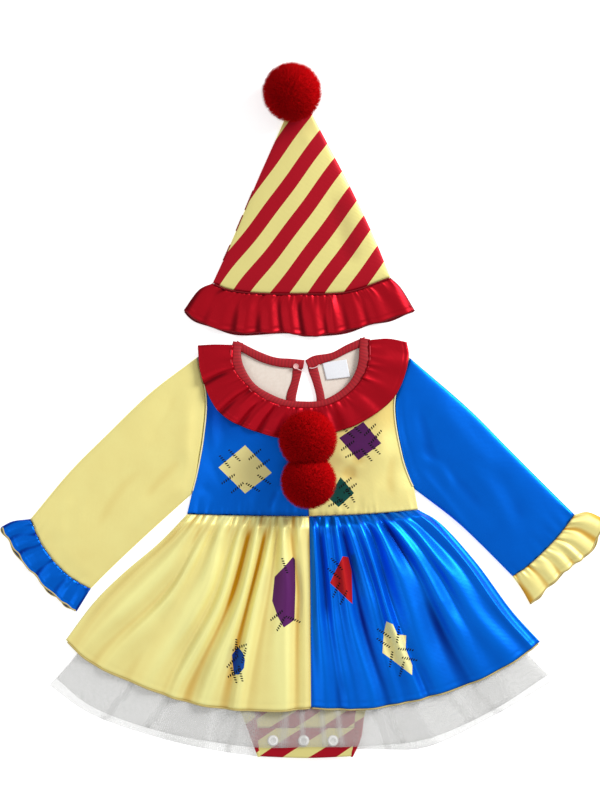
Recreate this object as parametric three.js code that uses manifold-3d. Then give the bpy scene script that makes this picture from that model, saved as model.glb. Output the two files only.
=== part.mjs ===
// Clown costume for a small baby, laid out flat: a gathered dress-romper with the
// cone hat above its neck. Millimetres, +Z up, +Y from the skirt towards the hat.
// Outlines are drawn from the middle of the front waist; the finished group is then
// moved so that the middle of its underside is the origin.
import * as THREE from 'three';
import { mergeVertices } from 'three/addons/utils/BufferGeometryUtils.js';
import Module from 'manifold-3d';

const wasm = await Module();
wasm.setup();

// ---------------------------------------------------------------- driving sizes
const CLOTH = 1.2; // wall of the satin, rib knit and jersey
const TULLE = 1.0; // wall of one tulle layer
const BINDING = 3.2; // thickness of a rib strip folded over an edge
const GAP = 0.3; // between sewn pieces, and between layers that lie on each other
const DRAPED_WALL = 1.5; // upright thickness of the pleated wall, 1.2 across its slopes
const HOLLOW = 3.4; // most that a front stands clear of the back it lies on
const SEAM_PRESS = 2.2; // the same at the waist, where the gathers are sewn down
const CUTTER = 60; // height of a cutter that trims a panel's edge along its binding

const FRILL_UNDER_BACK = CLOTH + GAP; // the collar's back frill lifts the back bodice
const POMPOM = { chest: 29.5, chestLow: 28, chestHeight: 50, hat: 30, hatHeight: 58 };
const SNAP = { diameter: 11.5, height: 1.2, y: -232.6, x: [-37.2, -5.5, 24.7] };
const BUTTON = { diameter: 7, height: 1.6, x: -13.5, y: 152 };
const THREAD_LOOP = { diameter: 1.2, radius: 4.6, x: 5.2, y: 151.2 };

const COLOUR = {
  yellow: 0xddd27a, blue: 0x0058cc, red: 0xa80a1e, fur: 0xb00008,
  tulle: 0xe0e0dc, stripe: 0xc4545a, white: 0xf2f0ec,
};

// ---------------------------------------------------------------- tables and edges
function table(names, ...rows) {
  return rows.map((row) => Object.fromEntries(names.map((name, i) => [name, row[i]])));
}

const outline = (...rows) => table(['x', 'y'], ...rows);

// A smooth line through each table, joined at a corner; t runs 0..1 by length.
function edge(...tables) {
  const path = new THREE.CurvePath();
  for (const points of tables) {
    const knots = points.map(({ x, y }) => new THREE.Vector3(x, y, 0));
    path.add(new THREE.CatmullRomCurve3(knots, false, 'centripetal'));
  }
  return (t) => path.getPoint(t);
}

// A cut piece between four edges: u runs across from sideA to sideB, v from start to end.
function panel(sideA, sideB, start, end) {
  const corner = [start(0), start(1), end(0), end(1)];
  return (u, v) => {
    const point = new THREE.Vector3();
    point.addScaledVector(start(u), 1 - v).addScaledVector(end(u), v);
    point.addScaledVector(sideA(v), 1 - u).addScaledVector(sideB(v), u);
    point.addScaledVector(corner[0], -(1 - u) * (1 - v)).addScaledVector(corner[1], -u * (1 - v));
    point.addScaledVector(corner[2], -(1 - u) * v).addScaledVector(corner[3], -u * v);
    return point;
  };
}

const steps = (count) => Array.from({ length: count + 1 }, (_, i) => i / count);
const smooth = (low, high, value) => THREE.MathUtils.smoothstep(value, low, high);
const mix = THREE.MathUtils.lerp;

// ---------------------------------------------------------------- closed solids
function solid(points, faces) {
  const geometry = new THREE.BufferGeometry().setFromPoints(points);
  let volume = 0;
  for (let i = 0; i < faces.length; i += 3) {
    const [a, b, c] = [points[faces[i]], points[faces[i + 1]], points[faces[i + 2]]];
    volume += a.dot(b.clone().cross(c)) / 6;
  }
  if (volume < 0) faces.reverse();
  geometry.setIndex(faces);
  geometry.computeVertexNormals();
  return geometry;
}

function quad(faces, a, b, c, d) {
  faces.push(a, b, c, a, c, d);
}

// A cloth wall: rows of points on its lower side, raised by the thickness.
function wall(lower, thickness) {
  const rows = lower.length;
  const columns = lower[0].length;
  const layer = rows * columns;
  const upper = lower.map((row) => row.map((p) => new THREE.Vector3(p.x, p.y, p.z + thickness)));
  const faces = [];
  const at = (i, j) => i * columns + j;
  for (let i = 0; i < rows - 1; i += 1) {
    for (let j = 0; j < columns - 1; j += 1) {
      quad(faces, at(i, j), at(i, j + 1), at(i + 1, j + 1), at(i + 1, j));
      const [a, b, c, d] = [at(i, j), at(i, j + 1), at(i + 1, j + 1), at(i + 1, j)];
      // the same diagonal above as below, seen from the other side
      faces.push(layer + a, layer + c, layer + b, layer + a, layer + d, layer + c);
    }
  }
  const rim = [];
  for (let j = 0; j < columns - 1; j += 1) rim.push(at(0, j));
  for (let i = 0; i < rows - 1; i += 1) rim.push(at(i, columns - 1));
  for (let j = columns - 1; j > 0; j -= 1) rim.push(at(rows - 1, j));
  for (let i = rows - 1; i > 0; i -= 1) rim.push(at(i, 0));
  rim.forEach((a, k) => {
    const b = rim[(k + 1) % rim.length];
    quad(faces, a, layer + a, layer + b, b);
  });
  return solid([...lower.flat(), ...upper.flat()], faces);
}

// A flattened tube: each ring is a closed loop of points, walls between outer and inner.
function tube(outer, inner, tipClosed = false) {
  const loop = outer[0].length;
  const rings = outer.length;
  const points = [...outer.flat(), ...inner.flat()];
  const faces = [];
  const out = (i, k) => i * loop + (k % loop);
  const ins = (i, k) => rings * loop + i * loop + (k % loop);
  for (let k = 0; k < loop; k += 1) {
    for (let i = 0; i < rings - 1; i += 1) {
      quad(faces, out(i, k), out(i, k + 1), out(i + 1, k + 1), out(i + 1, k));
      quad(faces, ins(i, k), ins(i + 1, k), ins(i + 1, k + 1), ins(i, k + 1));
    }
    quad(faces, out(0, k), ins(0, k), ins(0, k + 1), out(0, k + 1));
    if (!tipClosed) {
      const last = rings - 1;
      quad(faces, out(last, k), out(last, k + 1), ins(last, k + 1), ins(last, k));
    }
  }
  if (tipClosed) {
    const last = rings - 1;
    for (let k = 1; k < loop / 2; k += 1) {
      // the loop is a front half and a back half, so its ends pair up across the tip
      const [a, b, c, d] = [k - 1, k, loop - 1 - k, loop - k];
      quad(faces, out(last, a), out(last, b), out(last, c), out(last, d));
      quad(faces, ins(last, d), ins(last, c), ins(last, b), ins(last, a));
    }
  }
  return solid(points, faces);
}

function manifold(geometry) {
  const bare = geometry.clone();
  bare.deleteAttribute('normal');
  bare.deleteAttribute('uv');
  const merged = mergeVertices(bare, 1e-4);
  const vertProperties = new Float32Array(merged.attributes.position.array);
  const triVerts = new Uint32Array(merged.index.array);
  return new wasm.Manifold(new wasm.Mesh({ numProp: 3, vertProperties, triVerts }));
}

function fromManifold(shape) {
  const mesh = shape.getMesh();
  const geometry = new THREE.BufferGeometry();
  geometry.setAttribute('position', new THREE.BufferAttribute(mesh.vertProperties, 3));
  geometry.setIndex(new THREE.BufferAttribute(mesh.triVerts, 1));
  geometry.computeVertexNormals();
  return geometry;
}

const join = (...pieces) => fromManifold(pieces.map(manifold).reduce((a, b) => a.add(b)));
const cut = (piece, ...tools) => (
  fromManifold(tools.map(manifold).reduce((a, b) => a.subtract(b), manifold(piece)))
);

// ---------------------------------------------------------------- the costume
const layout = new THREE.Group();

function add(name, geometry, colour, roughness = 0.5) {
  const material = new THREE.MeshStandardMaterial({ color: colour, roughness, metalness: 0 });
  const mesh = new THREE.Mesh(geometry, material);
  mesh.name = name;
  layout.add(mesh);
  mesh.updateMatrixWorld();
  return mesh;
}

// Height of the highest of the given pieces within a reach of a place.
const ABOVE = 200;
const probe = new THREE.Raycaster();
const down = new THREE.Vector3(0, 0, -1);
function topOf(pieces, x, y, reach) {
  let top = 0;
  for (const out of steps(5)) {
    for (const turn of out ? steps(16).slice(1) : [0]) {
      const angle = turn * 2 * Math.PI;
      const [dx, dy] = [out * reach * Math.cos(angle), out * reach * Math.sin(angle)];
      probe.set(new THREE.Vector3(x + dx, y + dy, ABOVE), down);
      const hit = probe.intersectObjects(pieces, false)[0];
      if (hit) top = Math.max(top, hit.point.z);
    }
  }
  return top;
}

// Rows of lower points of a panel; height(point, u, v) gives how high each lies.
function laid(shape, across, along, height) {
  return along.map((v) => across.map((u) => {
    const point = shape(u, v);
    point.z = height(point, u, v);
    return point;
  }));
}

// A tall cutter of a strip's own outline, wider by the seam gap before or after it and
// longer by the same at both ends.
function clearance(shape, count, sides) {
  const beyond = (end, from) => end.clone().add(end.clone().sub(from).setLength(GAP));
  const rows = laid(shape, [0, 0.5, 1], steps(count), () => -CUTTER / 2);
  for (const row of rows) {
    if (sides.before) row[0] = beyond(row[0], row[1]);
    if (sides.after) row[2] = beyond(row[2], row[1]);
  }
  const first = rows[0].map((point, i) => beyond(point, rows[1][i]));
  const last = rows[count].map((point, i) => beyond(point, rows[count - 1][i]));
  return wall([first, ...rows.slice(1, -1), last], CUTTER);
}

// ---------------------------------------------------------------- outlines
const WAIST = {
  left: outline([-126.2, 1.1], [-60, -0.4], [-0.15, -1]),
  right: outline([112.9, 6], [60, 1.5], [0.15, -1]),
};
const ARMHOLE = {
  left: outline([-121.2, 22.2], [-115.5, 45.1], [-108.9, 83.1], [-106.4, 122.8], [-115, 163.7]),
  right: outline([108.8, 27.3], [104.2, 36.9], [95.9, 61.6], [88.5, 119.5], [104, 162.8]),
};
const SIDE_SEAM = {
  left: outline([-126.2, 1.1], [-121.2, 22.2]),
  right: outline([112.9, 6], [108.8, 27.3]),
};
const SHOULDER = {
  left: outline([-115, 163.7], [-77, 172.7]),
  right: outline([104, 162.8], [60, 179]),
};

// ---------------------------------------------------------------- rib strips round the openings
const KEYHOLE = panel(
  edge(outline([-7.3, 149], [-11.4, 131.6], [-13.5, 118], [-9, 107], [-3, 104.5], [3.4, 107],
    [7.6, 118], [4.1, 135.7], [-0.6, 149])),
  edge(outline([-17.1, 149], [-18.1, 139.9], [-23.8, 121.2], [-19, 103.9], [-3, 95.3], [12.1, 102.9],
    [16.5, 117], [11.9, 140.9], [10, 149])),
  edge(outline([-7.3, 149], [-17.1, 149])),
  edge(outline([-0.6, 149], [10, 149])),
);
const BINDING_LEVEL = { back: FRILL_UNDER_BACK - GAP, front: 5.6 };
const NECK_FRONT = panel(
  edge(outline([-80, 172], [-79.2, 152.5], [-67.5, 135.9], [-47.8, 119.4], [-28, 111.9], [-8.1, 109.4],
    [15, 111.1], [34.8, 119.4], [53, 135.9], [62, 155.8], [62.9, 178])),
  edge(outline([-70, 168], [-67.5, 154.2], [-56, 135.9], [-41.1, 126.1], [-24.7, 119.5], [-8.1, 117.8],
    [11.7, 118.6], [28.3, 126.1], [41.4, 137.6], [49.7, 154.2], [53, 176])),
  edge(outline([-80, 172], [-70, 168])),
  edge(outline([62.9, 178], [53, 176])),
);
const NECK_BACK = {
  left: panel(
    edge(outline([-71.5, 179], [-51.1, 167.3], [-34.5, 163.2], [-18, 161.8], [-4.6, 160.5])),
    edge(outline([-70, 168], [-50, 157.9], [-34, 153.9], [-17.2, 152], [-6.3, 151.3])),
    edge(outline([-71.5, 179], [-70, 168])),
    edge(outline([-4.6, 160.5], [-6.3, 151.3])),
  ),
  right: panel(
    edge(outline([54, 184], [38.1, 175.9], [23.3, 168.2], [4, 164.6], [-4.1, 160])),
    edge(outline([53, 174.5], [38, 166.9], [27, 161.3], [12, 156], [0.2, 150.3])),
    edge(outline([54, 184], [53, 174.5])),
    edge(outline([-4.1, 160], [0.2, 150.3])),
  ),
};
const NECK_FOLD = {
  left: panel(
    edge(outline([-80, 170], [-79.4, 174.5], [-71.5, 179])),
    edge(outline([-70, 164], [-68, 168], [-64, 174.6])),
    edge(outline([-80, 170], [-70, 164])),
    edge(outline([-71.5, 179], [-64, 174.6])),
  ),
  right: panel(
    edge(outline([62.7, 176], [62.4, 181], [54, 184])),
    edge(outline([52.6, 172], [51, 176], [46, 180.3])),
    edge(outline([62.7, 176], [52.6, 172])),
    edge(outline([54, 184], [46, 180.3])),
  ),
};
const NECK_STEPS = { keyhole: 18, front: 24, back: 8, fold: 3 };
const neckClearance = (side) => ({
  keyhole: clearance(KEYHOLE, NECK_STEPS.keyhole, { after: true }),
  front: clearance(NECK_FRONT, NECK_STEPS.front, { before: true }),
  back: clearance(NECK_BACK[side], NECK_STEPS.back, { after: true }),
  fold: clearance(NECK_FOLD[side], NECK_STEPS.fold, { before: true, after: true }),
});
const NECK_CLEARANCE = { left: neckClearance('left'), right: neckClearance('right') };

// ---------------------------------------------------------------- collar's back frill
const backFrill = {
  left: panel(
    edge(outline([-81, 172], [-98, 173], [-114.5, 174.5])),
    edge(outline([-24.6, 148], [-27, 112], [-25, 79])),
    edge(outline([-81, 172], [-66, 166.5], [-50, 156.5], [-24.6, 148])),
    edge(outline([-114.5, 174.5], [-101, 150], [-96, 118], [-72, 96], [-25, 79])),
  ),
  right: panel(
    edge(outline([64, 178.5], [82, 181.5], [100, 177.5])),
    edge(outline([15.6, 150], [18, 112], [17, 82])),
    edge(outline([64, 178.5], [49, 172.5], [38, 165.5], [15.6, 150])),
    edge(outline([100, 177.5], [90, 150], [80, 118], [58, 99], [17, 82])),
  ),
};
for (const side of ['left', 'right']) {
  const lower = laid(backFrill[side], steps(3), steps(8), () => 0);
  // columns run from the neck to the hem of the frill, rows from shoulder to centre back
  add(`collar_frill_back_${side}`, wall(lower, CLOTH), COLOUR.red, 0.45);
}

// ---------------------------------------------------------------- bodice back
const backLevel = (y) => FRILL_UNDER_BACK * smooth(42, 64, y);
const KEYHOLE_EDGE = {
  left: outline([-3, 99], [-16.5, 105.5], [-20.8, 120], [-15.2, 139], [-14, 155]),
  right: outline([-2.7, 99], [10, 105], [13.6, 118], [9.2, 140], [7.6, 155]),
};
const BACK_NECK = {
  left: outline([-77, 172.7], [-66, 171], [-50, 161], [-34, 157], [-14, 155]),
  right: outline([60, 179], [49, 177], [38, 170], [27, 164.5], [7.6, 155]),
};
const BACK_SEAM = {
  left: outline([-0.15, -1], [-3, 99]),
  right: outline([0.15, -1], [-2.7, 99]),
};
const BODICE_COLOUR = { left: 'blue', right: 'yellow' };
const bodiceBack = {};
for (const side of ['left', 'right']) {
  const shape = panel(
    edge(SIDE_SEAM[side], ARMHOLE[side]),
    edge(BACK_SEAM[side], KEYHOLE_EDGE[side]),
    edge(WAIST[side]),
    edge(SHOULDER[side], BACK_NECK[side]),
  );
  const along = [0, 0.13, 0.24, 0.32, 0.42, 0.54, 0.66, 0.78, 0.9, 1];
  const lower = laid(shape, steps(9), along, (point) => backLevel(point.y));
  const name = `bodice_back_${BODICE_COLOUR[side]}`;
  const { keyhole, back, fold } = NECK_CLEARANCE[side];
  const trimmed = cut(wall(lower, CLOTH), keyhole, back, fold);
  bodiceBack[side] = add(name, trimmed, COLOUR[BODICE_COLOUR[side]], 0.45);
}
const backs = Object.values(bodiceBack);

// ---------------------------------------------------------------- bodice front
const FRONT_NECK = {
  left: outline([-77, 172.7], [-76.5, 153], [-65, 137.5], [-46, 121.8], [-27, 114.4], [-6.15, 112]),
  right: outline([60, 179], [59.3, 155.7], [50.5, 137.5], [33.5, 121.8], [14.5, 113.6], [-5.85, 112]),
};
const FRONT_SEAM = {
  left: outline([-0.15, -1], [-6.15, 112]),
  right: outline([0.15, -1], [-5.85, 112]),
};
const bodiceFront = {};
for (const side of ['left', 'right']) {
  const shape = panel(
    edge(SIDE_SEAM[side], ARMHOLE[side]),
    edge(FRONT_SEAM[side]),
    edge(WAIST[side]),
    edge(SHOULDER[side], FRONT_NECK[side]),
  );
  const across = [0, 0.05, 0.12, 0.22, 0.34, 0.46, 0.58, 0.72, 0.86, 1];
  const along = [0, 0.06, 0.15, 0.3, 0.45, 0.6, 0.75, 0.88, 1];
  const lower = laid(shape, across, along, (point, u, v) => {
    const clear = mix(SEAM_PRESS, HOLLOW, smooth(0, 0.15, v));
    const shoulder = 1 - smooth(0.75, 1, v) * (1 - smooth(0.22, 0.46, u));
    const back = backLevel(point.y) + CLOTH + GAP;
    return back + clear * smooth(0, 0.22, u) * shoulder;
  });
  const name = `bodice_front_${BODICE_COLOUR[side]}`;
  const { front, fold } = NECK_CLEARANCE[side];
  const trimmed = cut(wall(lower, CLOTH), front, fold);
  bodiceFront[side] = add(name, trimmed, COLOUR[BODICE_COLOUR[side]], 0.45);
}
const fronts = Object.values(bodiceFront);

// ---------------------------------------------------------------- flattened tubes
// Rings of a flattened tube. A column is a line along the tube: at(v) is its place across
// and height(v) how high its front lies; each ring runs over the front and back beneath.
function flatRings(shape, columns, along) {
  const fold = 0.012; // share of the width that the two side walls take
  const ring = (v, lining) => {
    const place = (column, z) => {
      const across = column.at(v);
      const point = shape(lining ? mix(fold, 1 - fold, across) : across, v);
      point.z = z;
      return point;
    };
    const front = columns.map((column) => place(column, column.height(v) - (lining ? CLOTH : 0)));
    const back = [...columns].reverse().map((column) => place(column, lining ? CLOTH : 0));
    return [...front, ...back];
  };
  return { outer: along.map((v) => ring(v, false)), inner: along.map((v) => ring(v, true)) };
}

const PRESSED = 2 * CLOTH + GAP; // height of a tube's folded edge

// Columns of a plain tube, highest in the middle; share(v) scales its crown along it.
function crowned(share) {
  return [0, 0.06, 0.18, 0.36, 0.55, 0.74, 0.9, 1].map((u) => ({
    at: () => u,
    height: (v) => PRESSED + HOLLOW * Math.sin(Math.PI * u) ** 0.6 * share(v),
  }));
}

// ---------------------------------------------------------------- sleeves
const SLEEVE = {
  left: {
    name: 'sleeve_yellow',
    colour: COLOUR.yellow,
    top: outline([-115.8, 163.9], [-162.9, 127.6], [-209.2, 83.3], [-246.2, 46.2], [-287.7, -3.7]),
    bottom: outline([-122.1, 21.8], [-172.1, -24], [-209.2, -59.2], [-225.7, -75.8]),
    armhole: outline([-115.8, 163.9], [-107.4, 122.8], [-110, 83], [-116.6, 45], [-122.1, 21.8]),
    cuff: outline([-287.7, -3.7], [-273.9, -33.3], [-249.8, -61], [-225.7, -75.8]),
  },
  right: {
    name: 'sleeve_blue',
    colour: COLOUR.blue,
    top: outline([104.9, 163], [166.1, 109.2], [203.1, 72.1], [240, 35.1], [274.3, 0.9]),
    bottom: outline([109.8, 26.9], [151.3, -5.6], [175.3, -27.8], [210.4, -62.9]),
    armhole: outline([104.9, 163], [89.6, 119.5], [97, 61.7], [105.3, 37], [109.8, 26.9]),
    cuff: outline([274.3, 0.9], [254.9, -24], [225.2, -52.7], [210.4, -62.9]),
  },
};
const sleeves = {};
for (const side of ['left', 'right']) {
  const { name, colour, top, bottom, armhole, cuff } = SLEEVE[side];
  const shape = panel(edge(top), edge(bottom), edge(armhole), edge(cuff));
  const pressedEnds = (v) => mix(0.35, 1, smooth(0, 0.12, v) * (1 - smooth(0.9, 1, v)));
  const rings = flatRings(shape, crowned(pressedEnds), [0, 0.06, 0.2, 0.45, 0.7, 0.92, 1]);
  sleeves[side] = add(name, tube(rings.outer, rings.inner), colour, 0.45);
}

// ---------------------------------------------------------------- cuff frills
// Each row of folds: its place along the seam and along the hem, and its rise.
const FOLD = ['seam', 'hem', 'rise'];
const CUFF_FRILL = {
  left: {
    name: 'cuff_frill_blue',
    colour: COLOUR.blue,
    seam: outline([-288.3, -4], [-274.3, -33.7], [-250.1, -61.4], [-226, -76.3]),
    hem: outline([-318.3, -12], [-301.6, -38.9], [-268.3, -77.7], [-240.6, -99.9]),
    start: outline([-288.3, -4], [-307.2, -6.5], [-318.3, -12]),
    finish: outline([-226, -76.3], [-240.6, -99.9]),
    folds: table(FOLD,
      [0, 0, 0], [0.08, 0.07, 2.4], [0.2, 0.2, 0.5], [0.3, 0.33, 2.8], [0.42, 0.46, 3.2],
      [0.5, 0.52, 0.4], [0.6, 0.62, 3], [0.72, 0.75, 1], [0.86, 0.88, 2.2], [1, 1, 0]),
  },
  right: {
    name: 'cuff_frill_yellow',
    colour: COLOUR.yellow,
    seam: outline([274.7, 0.4], [255.3, -24.4], [225.5, -53.1], [210.7, -63.3]),
    hem: outline([305.6, -4], [291.8, -35.1], [260.5, -61], [229, -92.5]),
    start: outline([274.7, 0.4], [288, 3.2], [305.6, -4]),
    finish: outline([210.7, -63.3], [221, -78], [229, -92.5]),
    folds: table(FOLD,
      [0, 0, 0], [0.1, 0.1, 2.2], [0.24, 0.26, 0.6], [0.36, 0.4, 3], [0.44, 0.48, 0.6],
      [0.52, 0.55, 2.8], [0.6, 0.63, 0.8], [0.72, 0.72, 2.6], [0.86, 0.86, 1], [1, 1, 0]),
  },
};

// A gathered frill that goes right round, pressed flat: pleated in front, flat beneath.
function gatheredTube(frill, along) {
  const shape = panel(edge(frill.start), edge(frill.finish), edge(frill.seam), edge(frill.hem));
  const columns = frill.folds.map(({ seam, hem, rise }) => ({
    at: (v) => mix(seam, hem, v),
    height: (v) => PRESSED + rise * mix(0.45, 1, smooth(0, 0.5, v)),
  }));
  return flatRings(shape, columns, along);
}
for (const side of ['left', 'right']) {
  const frill = CUFF_FRILL[side];
  const rings = gatheredTube(frill, [0, 0.2, 0.55, 1]);
  add(frill.name, tube(rings.outer, rings.inner), frill.colour, 0.45);
}

// ---------------------------------------------------------------- skirt and tulle backs
const SKIRT_SIDE = {
  left: outline([-126.2, 0.9], [-154.9, -28.5], [-193.2, -61.1], [-222, -89.8], [-251.6, -129.1]),
  right: outline([112.9, 5.7], [133.6, -6.5], [171.9, -47.7], [210.2, -99.5], [239, -131.1]),
};
const SKIRT_WAIST = {
  left: outline([-126.2, 0.8], [-60, -0.7], [-0.15, -1.3]),
  right: outline([112.9, 5.7], [60, 1.2], [0.15, -1.3]),
};
const SKIRT_SEAM = {
  left: outline([-0.15, -1.3], [1.05, -60], [1.85, -198.1]),
  right: outline([0.15, -1.3], [1.35, -60], [2.15, -198.1]),
};
const SKIRT_HEM = {
  left: outline([-251.6, -129.1], [-225.8, -151.2], [-183.7, -171.3], [-116.6, -194.3], [-40, -201], [1.85, -198.1]),
  right: outline([239, -131.1], [210.2, -151.2], [171.9, -171.3], [114.5, -189.5], [57, -199], [2.15, -198.1]),
};
const SKIRT_COLOUR = { left: 'yellow', right: 'blue' };
const skirtShape = {};
const skirtBacks = [];
for (const side of ['left', 'right']) {
  skirtShape[side] = panel(
    edge(SKIRT_SIDE[side]),
    edge(SKIRT_SEAM[side]),
    edge(SKIRT_WAIST[side]),
    edge(SKIRT_HEM[side]),
  );
  const colour = SKIRT_COLOUR[side];
  const lower = laid(skirtShape[side], steps(7), steps(5), () => 0);
  skirtBacks.push(add(`skirt_back_${colour}`, wall(lower, CLOTH), COLOUR[colour], 0.45));
}

const TULLE_BACK = panel(
  edge(outline([-113, -9], [-146, -39], [-185, -72], [-213, -101], [-237, -139], [-268.9, -176])),
  edge(outline([100, -5], [123, -18], [161, -58], [200, -110], [222, -138], [254.6, -170.3])),
  edge(outline([-113, -9], [0, -11], [100, -5])),
  edge(outline([-268.9, -176], [-227.7, -204.8], [-144.4, -233.2], [-53.4, -249.5], [0, -249.5],
    [51.2, -242], [119, -240.5], [191, -207.7], [254.6, -170.3])),
);
const tulleBack = add(
  'tulle_back',
  wall(laid(TULLE_BACK, steps(14), steps(6), () => CLOTH + GAP), TULLE),
  COLOUR.tulle,
  0.8,
);

// ---------------------------------------------------------------- romper
const ROMPER_LEVEL = { back: CLOTH + TULLE + 2 * GAP, front: 2 * CLOTH + TULLE + 3 * GAP };
const LEG_EDGE = {
  left: outline([-118, -86], [-104, -111], [-80.5, -160], [-60.5, -202], [-55, -220.2]),
  right: outline([106, -86], [94, -111], [72, -160], [52.5, -202], [49.8, -220.2]),
};
const ROMPER = panel(
  edge(outline([-110, -9], [-118, -86]), LEG_EDGE.left),
  edge(outline([97, -5], [106, -86]), LEG_EDGE.right),
  edge(outline([-110, -9], [0, -11], [97, -5])),
  edge(outline([-55, -220.2], [49.8, -220.2])),
);
const PLACKET = panel(
  edge(outline([-54.5, -220.5], [-51.8, -249])),
  edge(outline([49.6, -220.5], [44.6, -249])),
  edge(outline([-54.5, -220.5], [49.6, -220.5])),
  edge(outline([-51.8, -249], [-2.4, -250.8], [44.6, -249])),
);
// The gathered elastic casing of a leg: one run on the front, one on the back, joined above.
const LEG_BINDING = {
  left: {
    outer: outline([-121, -84], [-112, -118], [-93, -163], [-71.8, -201], [-53.2, -249.5]),
    inner: outline([-116.3, -88.1], [-100.3, -108.2], [-77.3, -158.2], [-56.9, -201.1], [-50.6, -249.5]),
  },
  right: {
    outer: outline([109, -84], [101, -118], [82, -163], [59, -201], [53.5, -231], [45.5, -249.5]),
    inner: outline([104.3, -88.1], [90.3, -108.2], [68.3, -158.2], [48.9, -201.1], [46.8, -222], [43.5, -249.5]),
  },
};
const LEG_STEPS = 9;
const romper = [];
const legClearance = [];
for (const side of ['left', 'right']) {
  const { outer, inner } = LEG_BINDING[side];
  const ends = (pick) => edge([pick(outer), pick(inner)]);
  const shape = panel(edge(outer), edge(inner), ends((p) => p[0]), ends((p) => p[p.length - 1]));
  const runs = ['back', 'front'].map((layer) => {
    const flat = () => ROMPER_LEVEL[layer];
    return wall(laid(shape, steps(1), steps(LEG_STEPS), flat), CLOTH);
  });
  const tall = ROMPER_LEVEL.front + CLOTH - ROMPER_LEVEL.back;
  const joint = wall(laid(shape, steps(1), [0, 0.04], () => ROMPER_LEVEL.back), tall);
  romper.push(add(`leg_binding_${side}`, join(...runs, joint), COLOUR.stripe));
  legClearance.push(clearance(shape, LEG_STEPS, { after: true }));
}
for (const layer of ['back', 'front']) {
  const flat = () => ROMPER_LEVEL[layer];
  const leaf = cut(wall(laid(ROMPER, steps(4), steps(8), flat), CLOTH), ...legClearance);
  const strip = cut(wall(laid(PLACKET, steps(4), steps(1), flat), CLOTH), ...legClearance);
  romper.push(add(`romper_${layer}`, leaf, COLOUR.stripe));
  romper.push(add(`placket_${layer}`, strip, COLOUR.stripe));
}

const snaps = SNAP.x.map((x, i) => {
  const cap = new THREE.CylinderGeometry(SNAP.diameter * 0.4, SNAP.diameter / 2, SNAP.height, 20);
  cap.rotateX(Math.PI / 2);
  cap.translate(x, SNAP.y, ROMPER_LEVEL.front + CLOTH + GAP + SNAP.height / 2);
  return add(`snap_${i + 1}`, cap, COLOUR.white, 0.3);
});

// ---------------------------------------------------------------- tulle front
const TULLE_FRONT = panel(
  edge(outline([-113, -9], [-146, -39], [-185, -72], [-213, -101], [-236, -139], [-261, -169])),
  edge(outline([100, -5], [123, -18], [161, -58], [200, -110], [222, -139], [247, -165])),
  edge(outline([-113, -9], [0, -11], [100, -5])),
  edge(outline([-261, -169], [-226, -197], [-144.4, -226], [-53.4, -239.5], [0, -239.2],
    [51.2, -238.6], [119, -232], [191, -201], [247, -165])),
);
const tulleAcross = steps(17);
const tulleAlong = [0, 0.13, 0.26, 0.38, 0.5, 0.62, 0.73, 0.82, 0.88, 0.94, 1];
const underTulle = [tulleBack, ...romper, ...snaps];
const tulleFront = add(
  'tulle_front',
  wall(laid(TULLE_FRONT, tulleAcross, tulleAlong, ({ x, y }) => topOf(underTulle, x, y, 32) + GAP), TULLE),
  COLOUR.tulle,
  0.8,
);

// ---------------------------------------------------------------- skirt fronts
// A row for each ridge and trough, from the side seam to the centre seam: where it leaves
// the waist, crosses mid-length and meets the hem, as shares of the width, how far it
// stands up, and how much of the layers below it clears (none at the side seam itself).
const PLEAT = ['waist', 'middle', 'hem', 'rise', 'clears'];
const PLEATS = {
  left: table(PLEAT,
    [0, 0, 0, 0, 0], [0.03, 0.022, 0.018, 0, 0.6], [0.065, 0.05, 0.04, 0.6, 1],
    [0.12, 0.14, 0.08, 2.6, 1], [0.18, 0.24, 0.14, 0.4, 1], [0.24, 0.28, 0.19, 2.6, 1],
    [0.28, 0.33, 0.28, 0.8, 1], [0.34, 0.43, 0.36, 3.4, 1], [0.43, 0.48, 0.43, 1, 1],
    [0.48, 0.53, 0.47, 3.4, 1], [0.55, 0.575, 0.52, 0, 1], [0.61, 0.635, 0.59, 4.6, 1],
    [0.67, 0.67, 0.67, 0, 1], [0.72, 0.71, 0.715, 3.6, 1], [0.76, 0.77, 0.76, 0.6, 1],
    [0.8, 0.87, 0.9, 4.4, 1], [0.86, 0.935, 0.945, 0.4, 1], [0.93, 0.97, 0.975, 1.6, 1], [1, 1, 1, 0.4, 1]),
  right: table(PLEAT,
    [0, 0, 0, 0, 0], [0.03, 0.022, 0.018, 0, 0.6], [0.065, 0.05, 0.035, 2, 1],
    [0.16, 0.09, 0.06, 0.6, 1], [0.21, 0.18, 0.14, 4, 1], [0.27, 0.23, 0.21, 1.6, 1],
    [0.33, 0.29, 0.28, 3.4, 1], [0.385, 0.35, 0.345, 0, 1], [0.45, 0.46, 0.46, 3.6, 1],
    [0.51, 0.545, 0.51, 0.4, 1], [0.58, 0.58, 0.55, 4.8, 1], [0.64, 0.62, 0.61, 1.4, 1],
    [0.68, 0.655, 0.64, 2.4, 1], [0.735, 0.725, 0.68, 0, 1], [0.78, 0.79, 0.74, 4, 1],
    [0.83, 0.84, 0.81, 1.6, 1], [0.87, 0.87, 0.84, 2, 1], [0.92, 0.91, 0.88, 0, 1],
    [0.96, 0.955, 0.935, 3.4, 1], [1, 1, 1, 0.4, 1]),
};
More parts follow.
